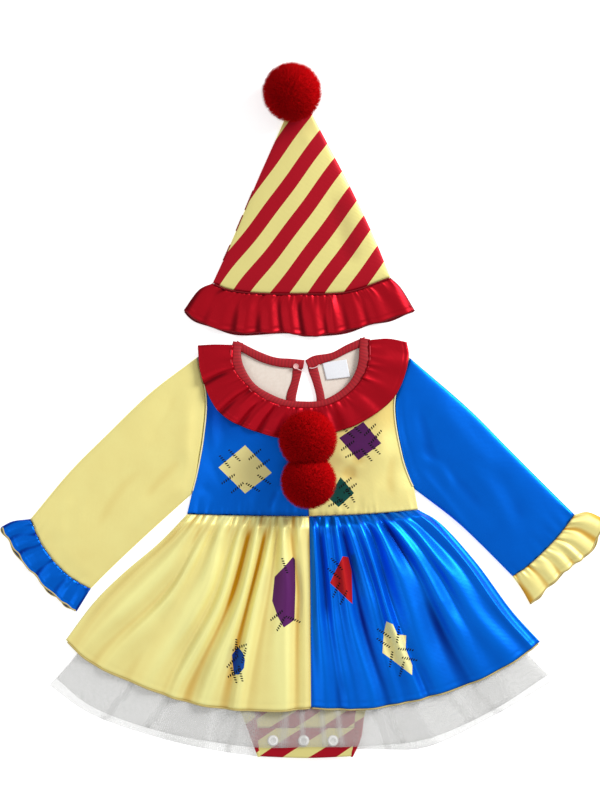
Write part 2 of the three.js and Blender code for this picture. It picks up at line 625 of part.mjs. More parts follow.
// How far down the skirt each row lies, and how much of the pleats' rise it has.
const DOWN = table(['v', 'share'], [0, 0.2], [0.05, 0.55], [0.12, 0.85], [0.25, 1], [0.45, 1], [0.7, 0.9], [1, 0.75]);
const MIDDLE = 0.45;
const WAIST_SEAM = CLOTH + GAP + SEAM_PRESS;
for (const side of ['left', 'right']) {
  const lower = DOWN.map(({ v, share }) => PLEATS[side].map((pleat) => {
    const upperPart = mix(pleat.waist, pleat.middle, smooth(0, MIDDLE, v));
    const across = mix(upperPart, pleat.hem, smooth(MIDDLE, 1, v));
    const point = skirtShape[side](across, v);
    const under = v === 0 ? WAIST_SEAM : topOf([tulleFront], point.x, point.y, 26) + GAP;
    point.z = mix(CLOTH + GAP, Math.max(under, CLOTH + GAP), pleat.clears) + pleat.rise * share;
    return point;
  }));
  const colour = SKIRT_COLOUR[side];
  add(`skirt_front_${colour}`, wall(lower, DRAPED_WALL), COLOUR[colour], 0.45);
}

// ---------------------------------------------------------------- keyhole and neck rib
const keyholeLower = laid(KEYHOLE, steps(2), steps(NECK_STEPS.keyhole), () => FRILL_UNDER_BACK - GAP);
add('keyhole_binding', wall(keyholeLower, BINDING - 0.4), COLOUR.red, 0.7);

const band = (shape, count, level, height) => wall(laid(shape, steps(2), steps(count), () => level), height);
const foldHeight = BINDING_LEVEL.front + BINDING - BINDING_LEVEL.back;
add('neck_binding', join(
  band(NECK_FRONT, NECK_STEPS.front, BINDING_LEVEL.front, BINDING),
  band(NECK_BACK.left, NECK_STEPS.back, BINDING_LEVEL.back, BINDING - 0.4),
  band(NECK_BACK.right, NECK_STEPS.back, BINDING_LEVEL.back, BINDING - 0.4),
  band(NECK_FOLD.left, NECK_STEPS.fold, BINDING_LEVEL.back, foldHeight),
  band(NECK_FOLD.right, NECK_STEPS.fold, BINDING_LEVEL.back, foldHeight),
), COLOUR.red, 0.7);

const backBindingTop = BINDING_LEVEL.back + BINDING - 0.4 + GAP;
const button = new THREE.CylinderGeometry(BUTTON.diameter / 2, BUTTON.diameter / 2, BUTTON.height, 20);
button.rotateX(Math.PI / 2);
button.translate(BUTTON.x, BUTTON.y + 2, backBindingTop + BUTTON.height / 2);
add('button', button, COLOUR.white, 0.2);

const loopPath = new THREE.CatmullRomCurve3(steps(8).map((t) => {
  const angle = mix(-0.15, 1.15, t) * Math.PI;
  const { x, y, radius, diameter } = THREAD_LOOP;
  return new THREE.Vector3(
    x + radius * Math.cos(angle),
    y + radius * Math.sin(angle),
    backBindingTop + diameter / 2,
  );
}));
const strand = new THREE.Shape();
strand.absarc(0, 0, THREAD_LOOP.diameter / 2, 0, 2 * Math.PI);
add('button_loop', new THREE.ExtrudeGeometry(strand, {
  extrudePath: loopPath, steps: 16, curveSegments: 4,
}), COLOUR.white, 0.5);

// ---------------------------------------------------------------- size label
const LABEL = panel(
  edge(outline([17.5, 140.1], [14.3, 155.4])),
  edge(outline([43.9, 145.9], [40.6, 164.8])),
  edge(outline([17.5, 140.1], [43.9, 145.9])),
  edge(outline([14.3, 155.4], [40.6, 164.8])),
);
const labelLower = laid(LABEL, steps(3), steps(2), ({ x, y }) => topOf(backs, x, y, 6) + GAP);
add('size_label', wall(labelLower, TULLE), COLOUR.white, 0.7);

// ---------------------------------------------------------------- collar frill, front
const COLLAR = panel(
  edge(outline([-78, 176], [-77.3, 152.9], [-66, 137], [-47, 121.3], [-27.5, 113.8], [-8.1, 111.5],
    [14.6, 113], [33.9, 121.3], [51.3, 137.3], [60.2, 156], [61, 181])),
  edge(outline([-115.1, 175.6], [-111.4, 145], [-92.3, 106.2], [-54.4, 86.4], [-2, 76.7], [29, 86.4],
    [54.7, 96.3], [88.5, 122.8], [102.9, 163.2], [100.9, 178.9])),
  edge(outline([-78, 176], [-98, 176.5], [-115.1, 175.6])),
  edge(outline([61, 181], [82, 182.5], [100.9, 178.9])),
);
// Radial folds from the left shoulder round the front to the right one.
const COLLAR_FOLDS = table(['neck', 'hem', 'rise'],
  [0, 0, 0.2], [0.05, 0.06, 1.6], [0.12, 0.13, 0.3], [0.17, 0.17, 2.4], [0.22, 0.22, 0.4],
  [0.28, 0.27, 2.6], [0.33, 0.31, 0.4], [0.38, 0.36, 2.4], [0.43, 0.41, 0.3], [0.5, 0.48, 1],
  [0.56, 0.55, 0.3], [0.62, 0.62, 1.8], [0.68, 0.69, 0.6], [0.75, 0.76, 1.8], [0.82, 0.83, 0.8],
  [0.9, 0.91, 1.8], [0.95, 0.96, 0.6], [1, 1, 0.2]);
const underCollar = [...fronts, ...Object.values(sleeves)];
const collarLower = COLLAR_FOLDS.map(({ neck, hem, rise }, i) => [0, 0.15, 0.5, 1].map((out) => {
  const point = COLLAR(out, mix(neck, hem, out));
  const shoulder = i === 0 || i === COLLAR_FOLDS.length - 1;
  const under = Math.max(topOf(underCollar, point.x, point.y, shoulder ? 9 : 14), CLOTH + GAP);
  point.z = under + GAP + rise * mix(0.5, 1, out);
  return point;
}));
const { left: leftNeck, right: rightNeck } = NECK_CLEARANCE;
const collarWall = cut(wall(collarLower, DRAPED_WALL), leftNeck.front, leftNeck.fold, rightNeck.fold);
const collar = add('collar_frill_front', collarWall, COLOUR.red, 0.45);

// ---------------------------------------------------------------- pompoms
// A ball of fur settled on its place: flattened where it rests.
function furBall(radius, height, x, y, base) {
  const half = height / 2;
  const rest = 0.42;
  const profile = steps(9).map((t) => {
    const angle = mix(-0.5 * Math.PI + rest, 0.5 * Math.PI, t);
    return new THREE.Vector2(radius * Math.cos(angle), half * Math.sin(angle));
  });
  profile[profile.length - 1].x = 0;
  const low = profile[0].y;
  const ball = new THREE.LatheGeometry([new THREE.Vector2(0, low), ...profile], 20);
  ball.rotateX(Math.PI / 2);
  ball.translate(x, y, base - low);
  return ball;
}

const CHEST = { upper: { x: -1.5, y: 78.9 }, lower: { x: -0.7, y: 36.3 } };
const meetY = 57.3; // the two balls press together here
const onChest = [...fronts, collar];
for (const [place, radius] of [['upper', POMPOM.chest], ['lower', POMPOM.chestLow]]) {
  const { x, y } = CHEST[place];
  const base = topOf(onChest, x, y, 20) + GAP;
  const ball = furBall(radius, POMPOM.chestHeight, x, y, base);
  const block = new THREE.BoxGeometry(100, 100, 100);
  const away = place === 'upper' ? -1 : 1;
  block.translate(x, meetY + away * (50 - GAP / 2), base + 40);
  add(`pompom_${place}`, cut(ball, block), COLOUR.fur, 0.9);
}

// ---------------------------------------------------------------- hat
const HAT = panel(
  edge(outline([-99.5, 240.4], [-83.9, 274.5], [-50.8, 352.2], [-30, 398.9], [-21, 420.5])),
  edge(outline([84.2, 246], [68.4, 284.9], [42.5, 339.8], [11.4, 398.9], [0.5, 420.5])),
  edge(outline([-99.5, 240.4], [-87, 234.4], [-61.1, 230.2], [-9.3, 229.1], [40.4, 231.2], [84.2, 246])),
  edge(outline([-21, 420.5], [0.5, 420.5])),
);
const towardsTip = (v) => mix(0.5, 1, smooth(0, 0.1, v)) * (1 - 0.8 * smooth(0.5, 1, v));
const hatRings = flatRings(HAT, crowned(towardsTip), [0, 0.08, 0.3, 0.6, 0.85, 1]);
// the inner hollow stops short of the closed tip
hatRings.inner[hatRings.inner.length - 1].forEach((point) => { point.y -= 3; });
add('hat_cone', tube(hatRings.outer, hatRings.inner, true), COLOUR.stripe, 0.6);

const HAT_FRILL = {
  seam: outline([-99.9, 239.9], [-87, 233.9], [-61.1, 229.8], [-9.3, 228.7], [40.4, 230.8], [84.4, 245.6]),
  hem: outline([-129.5, 212.4], [-113, 200], [-78.7, 189.6], [-19.7, 188.6], [-4.1, 185.4], [26.9, 188.6],
    [68.4, 198.9], [109.8, 211.3]),
  start: outline([-99.9, 239.9], [-113, 234], [-129.5, 212.4]),
  finish: outline([84.4, 245.6], [94.3, 236.2], [109.8, 211.3]),
  folds: table(FOLD,
    [0, 0, 0], [0.07, 0.08, 2.2], [0.15, 0.18, 1], [0.22, 0.27, 3], [0.27, 0.34, 0.6], [0.33, 0.39, 3.2],
    [0.38, 0.44, 0.8], [0.44, 0.49, 3], [0.5, 0.54, 0.4], [0.56, 0.6, 3.2], [0.62, 0.64, 0.8],
    [0.68, 0.68, 3], [0.76, 0.75, 1], [0.83, 0.83, 2.8], [0.9, 0.92, 1.2], [1, 1, 0]),
};
const frillRings = gatheredTube(HAT_FRILL, [0, 0.15, 0.5, 1]);
add('hat_frill', tube(frillRings.outer, frillRings.inner), COLOUR.red, 0.45);
add('hat_pompom', furBall(POMPOM.hat, POMPOM.hatHeight, -17.6, 437.7, 0), COLOUR.fur, 0.9);

// ---------------------------------------------------------------- origin
const box = new THREE.Box3().setFromObject(layout);
const middle = box.getCenter(new THREE.Vector3());
layout.position.set(-middle.x, -middle.y, -box.min.z);
const costume = new THREE.Group();
costume.add(layout);

export default costume;
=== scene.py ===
"""Looks of a baby's clown costume laid out flat: satin dress-romper and striped cone hat.

Places on the costume are in millimetres from the middle of the front waist, as its cut
pieces are drawn, and row() moves them into the frame in metres.
"""

import math
from collections import namedtuple

import bmesh
import bpy
import numpy as np
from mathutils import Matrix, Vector
from mathutils.bvhtree import BVHTree


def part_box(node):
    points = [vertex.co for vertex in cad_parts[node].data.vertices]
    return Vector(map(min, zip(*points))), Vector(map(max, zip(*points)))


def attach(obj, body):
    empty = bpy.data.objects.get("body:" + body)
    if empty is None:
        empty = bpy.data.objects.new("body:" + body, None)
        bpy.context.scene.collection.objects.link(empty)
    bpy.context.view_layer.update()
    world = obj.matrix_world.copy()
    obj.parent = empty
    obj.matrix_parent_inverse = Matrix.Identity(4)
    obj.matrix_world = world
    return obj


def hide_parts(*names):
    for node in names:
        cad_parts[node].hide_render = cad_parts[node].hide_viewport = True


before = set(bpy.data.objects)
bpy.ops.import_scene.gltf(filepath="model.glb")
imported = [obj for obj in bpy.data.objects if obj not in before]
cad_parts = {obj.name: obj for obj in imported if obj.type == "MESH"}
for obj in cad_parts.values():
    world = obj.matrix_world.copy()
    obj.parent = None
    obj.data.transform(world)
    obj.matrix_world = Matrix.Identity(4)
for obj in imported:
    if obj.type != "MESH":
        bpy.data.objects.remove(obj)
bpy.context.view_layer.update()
bpy.ops.object.select_all(action="DESELECT")

MM = 0.001
SATIN = 0.6  # thickness of a satin shell
NET = 0.3  # thickness of a tulle shell
WALL = 1.2  # the frame's own cloth wall, which the shells lie on
GAP = 0.3

# The middle snap is drawn at this place, and the frame says where it lies.
SNAP_MIDDLE = (-5.5, -232.6)
low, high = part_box("snap_2")
snap_place = (low + high) / 2 / MM
SHIFT = np.array([snap_place.x - SNAP_MIDDLE[0], snap_place.y - SNAP_MIDDLE[1], 0.0])


def row(points):
    """Millimetres on the costume to metres in the frame."""
    return (np.asarray(points, float) + SHIFT) * MM


# ------------------------------------------------------------------ curves and panels
def smooth(low, high, value):
    t = np.clip((np.asarray(value, float) - low) / (high - low), 0, 1)
    return t * t * (3 - 2 * t)


def mix(a, b, t):
    return a * (1 - t) + b * t


def spline(points, per_span=24):
    """A centripetal Catmull-Rom line through the points."""
    points = np.asarray(points, float)
    ends = [2 * points[0] - points[1], *points, 2 * points[-1] - points[-2]]
    line = []
    for p0, p1, p2, p3 in zip(ends, ends[1:], ends[2:], ends[3:]):
        k0 = 0.0
        k1 = k0 + np.linalg.norm(p1 - p0) ** 0.5
        k2 = k1 + np.linalg.norm(p2 - p1) ** 0.5
        k3 = k2 + np.linalg.norm(p3 - p2) ** 0.5
        t = np.linspace(k1, k2, per_span, endpoint=False)[:, None]
        a1 = (k1 - t) / (k1 - k0) * p0 + (t - k0) / (k1 - k0) * p1
        a2 = (k2 - t) / (k2 - k1) * p1 + (t - k1) / (k2 - k1) * p2
        a3 = (k3 - t) / (k3 - k2) * p2 + (t - k2) / (k3 - k2) * p3
        b1 = (k2 - t) / (k2 - k0) * a1 + (t - k0) / (k2 - k0) * a2
        b2 = (k3 - t) / (k3 - k1) * a2 + (t - k1) / (k3 - k1) * a3
        line.append((k2 - t) / (k2 - k1) * b1 + (t - k1) / (k2 - k1) * b2)
    return np.vstack([*line, points[-1:]])


class Edge:
    """A smooth line through each outline, joined at a corner; t runs 0..1 by length."""

    def __init__(self, *outlines):
        self.points = np.vstack([spline(outline) for outline in outlines])
        steps = np.linalg.norm(np.diff(self.points, axis=0), axis=1)
        self.along = np.r_[0, np.cumsum(steps)]
        self.length = self.along[-1]
        self.along = self.along / self.length

    def __call__(self, t):
        x, y = (np.interp(t, self.along, self.points[:, i]) for i in (0, 1))
        return np.stack([x, y], -1)


class Panel:
    """A cut piece between four edges: u across from side_a to side_b, v from start to end."""

    def __init__(self, side_a, side_b, start, end):
        self.side_a, self.side_b, self.start, self.end = side_a, side_b, start, end

    def __call__(self, u, v):
        u, v = np.broadcast_arrays(np.asarray(u, float), np.asarray(v, float))
        a, b, s, e = self.side_a(v), self.side_b(v), self.start(u), self.end(u)
        corners = [self.start(0.0), self.start(1.0), self.end(0.0), self.end(1.0)]
        u, v = u[..., None], v[..., None]
        straight = (1 - u) * (1 - v) * corners[0] + u * (1 - v) * corners[1]
        straight = straight + (1 - u) * v * corners[2] + u * v * corners[3]
        return (1 - v) * s + v * e + (1 - u) * a + u * b - straight

    def grid(self, columns, rows):
        u, v = np.meshgrid(np.linspace(0, 1, columns + 1), np.linspace(0, 1, rows + 1))
        place = self(u, v)
        return u, v, place[..., 0], place[..., 1]

    def length(self):
        """Mean length in millimetres, from start to end."""
        return (self.side_a.length + self.side_b.length) / 2


# ------------------------------------------------------------------ folds
Crease = namedtuple("Crease", "x0 y0 xm ym x1 y1 width rise")


def creases(x, y, rows):
    """Soft ridges (rise above 0) and troughs along bent lines, fading at their ends."""
    height = np.zeros_like(x)
    for c in rows:
        line = spline([(c.x0, c.y0), (c.xm, c.ym), (c.x1, c.y1)], 48)
        far = (x[..., None] - line[:, 0]) ** 2 + (y[..., None] - line[:, 1]) ** 2
        nearest = far.argmin(-1)
        t = nearest / (len(line) - 1)
        ends = smooth(0, 0.3, t) * smooth(1, 0.7, t)
        distance = np.sqrt(far.min(-1))
        height += c.rise * (0.12 + 0.88 * ends) * np.exp(-((distance / c.width) ** 2))
    return height


def pleated(u, centres, rises):
    """Ridges and troughs at the centres, joined by rounded slopes; a row of centres a row."""
    out = np.empty_like(u)
    for j in range(u.shape[0]):
        c, r = centres[j], rises[j]
        i = np.clip(np.searchsorted(c, u[j]) - 1, 0, len(c) - 2)
        t = np.clip((u[j] - c[i]) / (c[i + 1] - c[i]), 0, 1)
        out[j] = mix(r[i], r[i + 1], t * t * (3 - 2 * t))
    return out


def gathers(along, out, length, spacing, rise, reach, seed):
    """Fine puckers along a gathered seam: uneven ridges that run out and die away."""
    rng = np.random.default_rng(seed)
    count = max(3, int(length / spacing))
    out = np.maximum(out, 0)
    height = np.zeros_like(along)
    for i in range(count):
        place = (i + 0.5 + rng.uniform(-0.35, 0.35)) * length / count
        drift = rng.uniform(-0.12, 0.12)
        width = spacing * rng.uniform(0.28, 0.5)
        tall = rise * rng.uniform(0.45, 1.25)
        fade = reach * rng.uniform(0.5, 1.6)
        distance = (along - place - drift * out) / (width * (1 + out / reach * 0.6))
        height += tall * np.exp(-(distance ** 2)) * np.exp(-((out / fade) ** 1.5))
    return height


# ------------------------------------------------------------------ meshes
def new_object(name, vertices, faces, materials, indices=None, uv=None):
    mesh = bpy.data.meshes.new(name)
    mesh.from_pydata([tuple(v) for v in vertices], [], [tuple(f) for f in faces])
    for material in materials:
        mesh.materials.append(material)
    if indices is not None:
        mesh.polygons.foreach_set("material_index", np.asarray(indices, np.int32))
    if uv is not None:
        layer = mesh.uv_layers.new(name="cloth")
        loops = np.empty(len(mesh.loops), np.int32)
        mesh.loops.foreach_get("vertex_index", loops)
        layer.data.foreach_set("uv", np.asarray(uv, np.float32)[loops].ravel())
    mesh.polygons.foreach_set("use_smooth", np.ones(len(mesh.polygons), bool))
    mesh.validate()
    piece = bpy.data.objects.new(name, mesh)
    bpy.context.scene.collection.objects.link(piece)
    return piece


def attribute(piece, name, values):
    data = piece.data.attributes.new(name, "FLOAT", "POINT").data
    data.foreach_set("value", np.asarray(values, np.float32).ravel())


def normals_of(points, wrap):
    """Unit normals of a grid of points, up on a panel, outward on a tube."""
    if wrap:
        across = np.roll(points, -1, 1) - np.roll(points, 1, 1)
    else:
        across = np.gradient(points, axis=1)
    along = np.gradient(points, axis=0)
    normal = np.cross(across, along)
    size = np.linalg.norm(normal, axis=-1, keepdims=True)
    return normal / np.maximum(size, 1e-9)


def ring_of(upper, lower):
    """Joins a flat tube's upper and lower face into rings that go right round it."""
    return np.concatenate([upper, lower[:, ::-1][:, 1:-1]], axis=1)


def face_outwards(piece):
    mesh = bmesh.new()
    mesh.from_mesh(piece.data)
    bmesh.ops.recalc_face_normals(mesh, faces=mesh.faces)
    mesh.to_mesh(piece.data)
    mesh.free()


def shell(name, points, thickness, outside, inside, wrap=False, fold_shade=None):
    """A thin closed shell: points is the grid of its outer face, the wrong side lies beneath.

    The last argument gives painted shade by how far a place lies in a fold: 1 at its bottom, 0 on flat cloth,
    less on a crest, where it can paint a highlight; the net takes it as its ply.
    """
    rows, columns = points.shape[:2]
    normal = normals_of(points, wrap)
    if not wrap and normal[..., 2].mean() < 0:
        points = points[:, ::-1]
        fold_shade = None if fold_shade is None else fold_shade[:, ::-1]
        normal = normals_of(points, wrap)
    elif wrap:
        centre = points.mean(1, keepdims=True)
        if ((points - centre) * normal).sum(-1).mean() < 0:
            points = points[:, ::-1]
            fold_shade = None if fold_shade is None else fold_shade[:, ::-1]
            normal = normals_of(points, wrap)
    under = points - normal * thickness
    vertices = row(np.vstack([points.reshape(-1, 3), under.reshape(-1, 3)]))
    layer = rows * columns
    spans = columns if wrap else columns - 1
    i, j = np.meshgrid(np.arange(rows - 1), np.arange(spans), indexing="ij")
    j2 = (j + 1) % columns
    a, b, c, d = i * columns + j, i * columns + j2, (i + 1) * columns + j2, (i + 1) * columns + j
    top = np.stack([a, b, c, d], -1).reshape(-1, 4)
    bottom = top[:, ::-1] + layer
    rims = []
    ring = np.arange(columns)
    last = (rows - 1) * columns
    if wrap:
        nxt = (ring + 1) % columns
        rims.append(np.stack([ring, ring + layer, nxt + layer, nxt], -1))
        rims.append(np.stack([last + nxt, last + nxt + layer, last + ring + layer, last + ring], -1))
    else:
        edge = np.r_[ring, np.arange(1, rows) * columns + columns - 1]
        edge = np.r_[edge, last + ring[-2::-1], np.arange(rows - 2, 0, -1) * columns]
        nxt = np.roll(edge, -1)
        rims.append(np.stack([edge, edge + layer, nxt + layer, nxt], -1))
    faces = np.vstack([top, bottom, *rims])
    indices = np.r_[np.zeros(len(top), int), np.ones(len(faces) - len(top), int)]
    width = np.linalg.norm(np.diff(points, axis=1), axis=-1).sum(1).mean()
    length = np.linalg.norm(np.diff(points, axis=0), axis=-1).sum(0).mean()
    u, v = np.meshgrid(np.linspace(0, width, columns), np.linspace(0, length, rows))
    uv = np.stack([u, v], -1).reshape(-1, 2) * MM
    piece = new_object(name, vertices, faces, [outside, inside], indices, np.vstack([uv, uv]))
    fold_shade = np.zeros((rows, columns)) if fold_shade is None else fold_shade
    attribute(piece, "fold_shade", np.r_[fold_shade.ravel(), fold_shade.ravel()])
    return piece


def cord(name, points, radius, material):
    """A round edge thread along a line of points in millimetres on the costume."""
    sides = 8
    points = np.asarray(points, float)
    tangent = np.gradient(points, axis=0)
    tangent /= np.maximum(np.linalg.norm(tangent, axis=1, keepdims=True), 1e-9)
    side = np.cross(tangent, [0, 0, 1.0])
    side /= np.maximum(np.linalg.norm(side, axis=1, keepdims=True), 1e-9)
    up = np.cross(side, tangent)
    angles = np.linspace(0, 2 * math.pi, sides, endpoint=False)
    radius = np.broadcast_to(radius, len(points))[:, None, None]
    ring = side[:, None] * np.cos(angles)[:, None] + up[:, None] * np.sin(angles)[:, None]
    vertices = (points[:, None] + ring * radius).reshape(-1, 3)
    faces = []
    for i in range(len(points) - 1):
        for k in range(sides):
            n = (k + 1) % sides
            faces.append((i * sides + k, (i + 1) * sides + k, (i + 1) * sides + n, i * sides + n))
    last = (len(points) - 1) * sides
    faces.append(tuple(range(sides)))
    faces.append(tuple(last + k for k in reversed(range(sides))))
    steps = np.r_[0, np.cumsum(np.linalg.norm(np.diff(points, axis=0), axis=1))]
    uv = np.stack([np.repeat(steps, sides), np.tile(angles, len(points))], -1) * MM
    piece = new_object(name, row(vertices), faces, [material], None, uv)
    face_outwards(piece)
    return piece


def height_on(piece, x, y):
    """Heights in millimetres of a piece's top at places on the costume."""
    above = 200.0
    corners = [v.co.copy() for v in piece.data.vertices]
    tree = BVHTree.FromPolygons(corners, [tuple(p.vertices) for p in piece.data.polygons])
    heights = []
    for px, py in zip(np.ravel(x), np.ravel(y)):
        start = row([px, py, above])
        hit = tree.ray_cast(Vector(start), Vector((0, 0, -1)))[0]
        heights.append(hit.z / MM if hit else 0.0)
    return np.array(heights).reshape(np.shape(x))


# ------------------------------------------------------------------ materials
def linear(colour):
    """sRGB hex to linear colour."""
    parts = [int(colour[i:i + 2], 16) / 255 for i in (1, 3, 5)]
    return [c / 12.92 if c <= 0.04045 else ((c + 0.055) / 1.055) ** 2.4 for c in parts] + [1.0]


def material(name):
    made = bpy.data.materials.new(name)
    made.use_nodes = True
    made.node_tree.nodes.clear()
    return made


def node(made, kind, links=(), **settings):
    """Adds a node: settings are its properties or inputs, links are (input, from node, output)."""
    new = made.node_tree.nodes.new(kind)
    inputs = {}
    for key, value in settings.items():
        if hasattr(new, key):
            setattr(new, key, value)
        else:
            inputs[key.replace("_", " ")] = value
    for key, value in inputs.items():
        new.inputs[key].default_value = value
    for socket, source, output in links:
        made.node_tree.links.new(source.outputs[output], new.inputs[socket])
    return new


def bands(spacing, slanting=False):
    """Scale of a Wave texture whose bands lie this many millimetres apart on the cloth."""
    turns = 10 * math.sqrt(2) if slanting else 20
    return 2 * math.pi / (turns * spacing * MM)


def finish_with(made, shader):
    node(made, "ShaderNodeOutputMaterial", [("Surface", shader, 0)])
    return made


def satin(name, colour, fold_shade, roughness=0.4, metal=0.35, crinkle=0.3, twill=0.1):
    """Woven polyester satin: its floats give a broad gloss in its own colour.

    Its folds are mixed towards the second colour as painted shade, less so on crests as a painted highlight,
    and an uneven 0.12 to 0.28 of it is all over.
    """
    made = material(name)
    place = node(made, "ShaderNodeTexCoord")
    mottle = node(made, "ShaderNodeTexNoise", [("Vector", place, "Object")], Scale=38.0, Detail=3.0)
    # painted shade: folds are mixed towards the second colour by how deep they lie
    fold = node(made, "ShaderNodeAttribute", attribute_name="fold_shade")
    spread = node(made, "ShaderNodeMath", [(0, mottle, "Fac")], operation="MULTIPLY_ADD")
    spread.inputs[1].default_value = 0.16
    spread.inputs[2].default_value = 0.12
    depth = node(made, "ShaderNodeMath", [(0, fold, "Fac"), (1, spread, 0)],
                 operation="ADD", use_clamp=True)
    tint = node(made, "ShaderNodeMix", [("Factor", depth, 0)], data_type="RGBA")
    tint.inputs[6].default_value = linear(colour)
    tint.inputs[7].default_value = linear(fold_shade)
    # a satin's floats are 0.4 mm apart, and drawn 4.5 mm apart so that they show
    threads = node(made, "ShaderNodeTexWave", [("Vector", place, "UV")],
                   Scale=bands(4.464, slanting=True), bands_direction="DIAGONAL", Distortion=0.6)
    soft = node(made, "ShaderNodeTexNoise", [("Vector", place, "Object")], Scale=140.0, Detail=4.0)
    ripple = node(made, "ShaderNodeBump", [("Height", soft, "Fac")], Strength=crinkle, Distance=0.4 * MM)
    bump = node(made, "ShaderNodeBump", [("Height", threads, "Fac"), ("Normal", ripple, 0)],
                Strength=twill, Distance=0.1 * MM)
    shader = node(made, "ShaderNodeBsdfPrincipled", [("Base Color", tint, 2), ("Normal", bump, 0)],
                  Roughness=roughness, Metallic=metal, Specular_IOR_Level=0.15)
    return finish_with(made, shader)


def plain(name, colour, roughness, bump_scale=400.0, bump=0.3, gloss=0.15, shade=None):
    """Plain cloth, tape, thread, ink or plastic: a fine uneven surface, mottled with its shade."""
    made = material(name)
    place = node(made, "ShaderNodeTexCoord")
    grain = node(made, "ShaderNodeTexNoise", [("Vector", place, "Object")], Scale=bump_scale, Detail=3.0)
    tint = node(made, "ShaderNodeMix", [("Factor", grain, "Fac")], data_type="RGBA")
    tint.inputs[6].default_value = linear(colour)
    tint.inputs[7].default_value = linear(shade or colour)
    relief = node(made, "ShaderNodeBump", [("Height", grain, "Fac")], Strength=bump, Distance=0.2 * MM)
    shader = node(made, "ShaderNodeBsdfPrincipled", [("Base Color", tint, 2), ("Normal", relief, 0)],
                  Roughness=roughness, Specular_IOR_Level=gloss)
    return finish_with(made, shader)


def striped(name, red, yellow, fold_shade):
    """Satin printed with slanting stripes, half red and half yellow: soft gloss, crisp edges."""
    made = material(name)
    place = node(made, "ShaderNodeTexCoord")
    phase = node(made, "ShaderNodeAttribute", attribute_name="stripe")
    turn = node(made, "ShaderNodeMath", [(0, phase, "Fac")], operation="FRACT")
    side = node(made, "ShaderNodeMath", [(0, turn, 0)], operation="GREATER_THAN")
    side.inputs[1].default_value = 0.5
    print_tint = node(made, "ShaderNodeMix", [("Factor", side, 0)], data_type="RGBA")
    print_tint.inputs[6].default_value = linear(red)
    print_tint.inputs[7].default_value = linear(yellow)
    # painted shade: the folds are mixed towards the last colour over the print
    fold = node(made, "ShaderNodeAttribute", attribute_name="fold_shade")
    tint = node(made, "ShaderNodeMix", [("Factor", fold, "Fac"), (6, print_tint, 2)], data_type="RGBA")
    tint.inputs[7].default_value = linear(fold_shade)
    # its floats are 0.5 mm apart, and drawn 3.9 mm apart so that they show
    threads = node(made, "ShaderNodeTexWave", [("Vector", place, "UV")],
                   Scale=bands(3.906, slanting=True), bands_direction="DIAGONAL", Distortion=0.5)
    soft = node(made, "ShaderNodeTexNoise", [("Vector", place, "Object")], Scale=90.0, Detail=4.0)
    ripple = node(made, "ShaderNodeBump", [("Height", soft, "Fac")], Strength=0.35, Distance=0.7 * MM)
    bump = node(made, "ShaderNodeBump", [("Height", threads, "Fac"), ("Normal", ripple, 0)],
                Strength=0.2, Distance=0.12 * MM)
    shader = node(made, "ShaderNodeBsdfPrincipled", [("Base Color", tint, 2), ("Normal", bump, 0)],
                  Roughness=0.45, Metallic=0.3, Specular_IOR_Level=0.15)
    return finish_with(made, shader)


def tulle(name, colour):
    """Knitted nylon net, a matt veil that shows what lies behind it, denser where it doubles."""
    made = material(name)
    place = node(made, "ShaderNodeTexCoord")
    # its cells are 1 mm wide, and drawn 1.5 mm wide so that they show
    cells = node(made, "ShaderNodeTexVoronoi", [("Vector", place, "UV")], feature="DISTANCE_TO_EDGE",
                 Scale=1 / (1.5 * MM), Randomness=0.5)
    strand = node(made, "ShaderNodeMapRange", [("Value", cells, "Distance")])
    for socket, value in (("From Min", 0.05), ("From Max", 0.35), ("To Min", 0.28), ("To Max", 0.18)):
        strand.inputs[socket].default_value = value
    # the fold value sets the net's ply: doubled in its pleats, and denser on the wave crests as painted shade
    ply = node(made, "ShaderNodeAttribute", attribute_name="fold_shade")
    cover = node(made, "ShaderNodeMath", [(0, ply, "Fac"), (2, strand, 0)], operation="MULTIPLY_ADD")
    cover.inputs[1].default_value = 0.22
    shader = node(made, "ShaderNodeBsdfPrincipled", [("Alpha", cover, 0)],
                  Base_Color=linear(colour), Roughness=0.8, Specular_IOR_Level=0.1)
    return finish_with(made, shader)


def rib(name, colour, shade_colour):
    """Cotton rib knit: fine ribs run across the strip and catch a soft light, with painted shade in their
    troughs.
    """
    made = material(name)
    place = node(made, "ShaderNodeTexCoord")
    # its ribs are 1 mm apart, and drawn 3.6 mm apart so that they show
    ribs = node(made, "ShaderNodeTexWave", [("Vector", place, "UV")],
                Scale=bands(3.551), bands_direction="Y", Distortion=0.4)
    fuzz = node(made, "ShaderNodeTexNoise", [("Vector", place, "Object")], Scale=500.0, Detail=3.0)
    # painted shade: the troughs of the ribs take the darker colour
    tint = node(made, "ShaderNodeMix", [("Factor", ribs, "Fac")], data_type="RGBA")
    tint.inputs[6].default_value = linear(shade_colour)
    tint.inputs[7].default_value = linear(colour)
    ridge = node(made, "ShaderNodeBump", [("Height", ribs, "Fac")], Strength=0.25, Distance=0.2 * MM)
    relief = node(made, "ShaderNodeBump", [("Height", fuzz, "Fac"), ("Normal", ridge, 0)],
                  Strength=0.4, Distance=0.2 * MM)
    shader = node(made, "ShaderNodeBsdfPrincipled", [("Base Color", tint, 2), ("Normal", relief, 0)],
                  Roughness=0.6, Specular_IOR_Level=0.3)
    return finish_with(made, shader)


